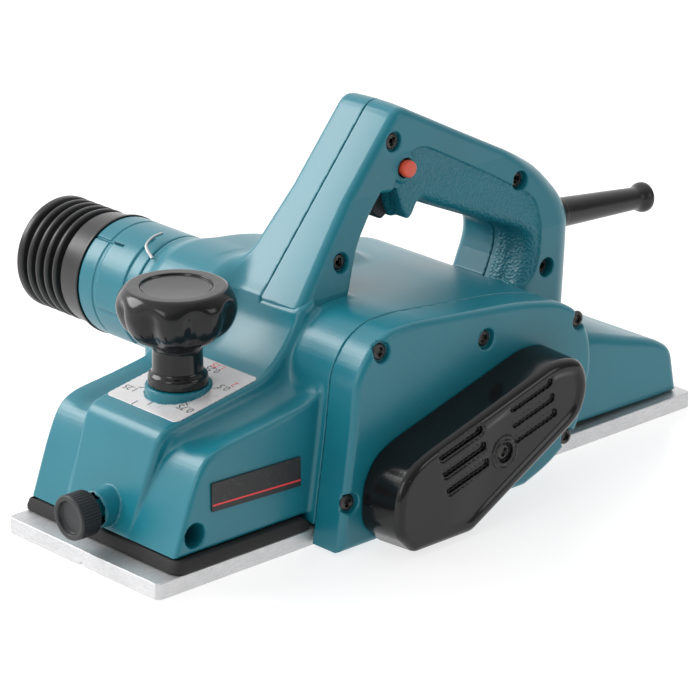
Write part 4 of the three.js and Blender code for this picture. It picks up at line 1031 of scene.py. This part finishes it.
thumb = turned("thumb_screw_knurled", thumb_profile, (-7, 0, THUMB_Z), (1, 0, 0), GREY_PLASTIC,
               "guide_clamp", 264, knurl, 50)
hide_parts("thumb_screw")

# Badge: a thin black plastic plate on the nose's belt side, glued into a shallow seat. It has
# one raised red line near its lower edge and no lettering.
BADGE_SIDE = [(35, 33.2), (89.5, 30.9), (89.5, 45.6), (35, 47.2)]
LINE_SIDE = [(35.4, 36.0), (89.1, 33.6), (89.1, 34.4), (35.4, 36.8)]


def badge_layer(name, rings, finish):
    """A flat piece from rings (outline, y), from the nose outwards, closed at the last one."""
    around = len(rings[0][0])
    points = [(u, y, v) for outline, y in rings for u, v in outline]
    face = tuple(range(len(points) - around, len(points)))
    return make_piece(name, points, grid_faces(len(rings), around, False) + [face], finish,
                      "housing")


badge_outline = curve_through([(u, v, 0.7) for u, v in BADGE_SIDE], 3)
badge = badge_layer("badge_plain", [(badge_outline, -52.25), (badge_outline, -52.85),
                                    (inwards(badge_outline, 0.15), -53.0)], FAN_PLASTIC)
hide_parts("badge_plate")
badge_layer("badge_line", [(LINE_SIDE, -52.9), (LINE_SIDE, -53.05)], RED_INK)

# Cord guard: a tapered rubber sleeve with a flared rim, held in the rear of the handle. The
# supply cord itself is not part of the model, so its mouth is open.
guard_profile = curve_through([
    (7.8, -19.6), (7.8, 1.2, 0.8), (7.6, 2.0, 0.5), (7.3, 12, 6), (6.2, 46, 6), (5.75, 57.5, 1.5),
    (7.5, 61.0, 0.9), (7.9, 62.6, 0.8), (7.6, 64.8, 0.6), (6.6, 65.0, 0.4), (4.4, 64.2, 0.8),
    (4.2, 55), (4.2, -19.6)], 5)
guard = turned("cord_guard_sleeve", guard_profile, (311, 0, 100.8),
               (math.cos(0.0915), 0, -math.sin(0.0915)), RIBBED_RUBBER, "housing", 64,
               smooth_under=50)
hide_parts("cord_guard")


# Studio: a pale floor that glows a little, a world that is brighter behind the object, three
# soft lights from behind, the left and the belt side, and a long lens.
floor_mesh = bpy.data.meshes.new("floor")
floor_mesh.from_pydata([(-6, -6, -0.0002), (8, -6, -0.0002), (8, 8, -0.0002), (-6, 8, -0.0002)],
                       [], [(0, 1, 2, 3)])
floor = bpy.data.objects.new("floor", floor_mesh)
bpy.context.scene.collection.objects.link(floor)
floor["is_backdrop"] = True
pale = Finish("PaleFloor", Roughness=0.3, Specular_IOR_Level=0.4, Emission_Strength=0.74,
              Emission_Color=(1, 1, 1, 1))
floor_mesh.materials.append(pale.drive(Base_Color=pale.blend(
    pale.noise(3.0, 2.0), (0.29, 0.29, 0.292, 1), (0.31, 0.31, 0.31, 1))))

world = bpy.data.worlds.new("Studio")
bpy.context.scene.world = world
world.use_nodes = True
world_nodes = world.node_tree.nodes
direction = world_nodes.new("ShaderNodeTexCoord")
towards = world_nodes.new("ShaderNodeVectorMath")
towards.operation = "DOT_PRODUCT"
world_nodes["Background"].inputs["Color"].default_value = (1, 1, 1, 1)
towards.inputs[1].default_value = Vector((-0.1, 0.86, 0.4)).normalized()
ramp = world_nodes.new("ShaderNodeMapRange")
ramp.interpolation_type = "SMOOTHSTEP"
ramp.inputs["From Min"].default_value = -0.6
ramp.inputs["From Max"].default_value = 0.6
ramp.inputs["To Min"].default_value = 0.24
ramp.inputs["To Max"].default_value = 1.2
world.node_tree.links.new(direction.outputs["Generated"], towards.inputs[0])
world.node_tree.links.new(towards.outputs["Value"], ramp.inputs["Value"])
world.node_tree.links.new(ramp.outputs["Result"], world_nodes["Background"].inputs["Strength"])


def soft_light(name, at, aim, width, height, watts):
    """A rectangular light that faces its aim."""
    lamp = bpy.data.lights.new(name, "AREA")
    lamp.shape = "RECTANGLE"
    lamp.size, lamp.size_y, lamp.energy = width, height, watts
    light = bpy.data.objects.new(name, lamp)
    light.location = at
    light.rotation_euler = (Vector(aim) - Vector(at)).to_track_quat("-Z", "Y").to_euler()
    bpy.context.scene.collection.objects.link(light)


soft_light("key_back_left", (-0.95, 1.4, 1.15), (0, 0, 0.08), 1.05, 0.85, 20)
soft_light("window_left", (-1.5, -0.25, 0.75), (0, 0, 0.08), 0.45, 0.6, 2.6)
soft_light("side_fill", (0.7, -1.6, 0.7), (0.05, 0, 0.05), 0.8, 0.6, 3.2)

lens = bpy.data.cameras.new("camera")
lens.lens, lens.sensor_width, lens.clip_end = 201.9, 36, 50
camera = bpy.data.objects.new("camera", lens)
yaw, pitch, roll = (math.radians(angle) for angle in (42.53889, 20.57354, -0.26061))
ahead = Vector((math.sin(yaw) * math.cos(pitch), math.cos(yaw) * math.cos(pitch), -math.sin(pitch)))
level = Vector((math.cos(yaw), -math.sin(yaw), 0))
above = level.cross(ahead)
right = level * math.cos(roll) + above * math.sin(roll)
up = above * math.cos(roll) - level * math.sin(roll)
camera.matrix_world = Matrix.Translation((-1.28855, -1.31373, 0.73269)) @ Matrix(
    (right, up, -ahead)).transposed().to_4x4()
bpy.context.scene.collection.objects.link(camera)
bpy.context.scene.camera = camera
bpy.context.scene.view_settings.view_transform = "Standard"

low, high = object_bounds()
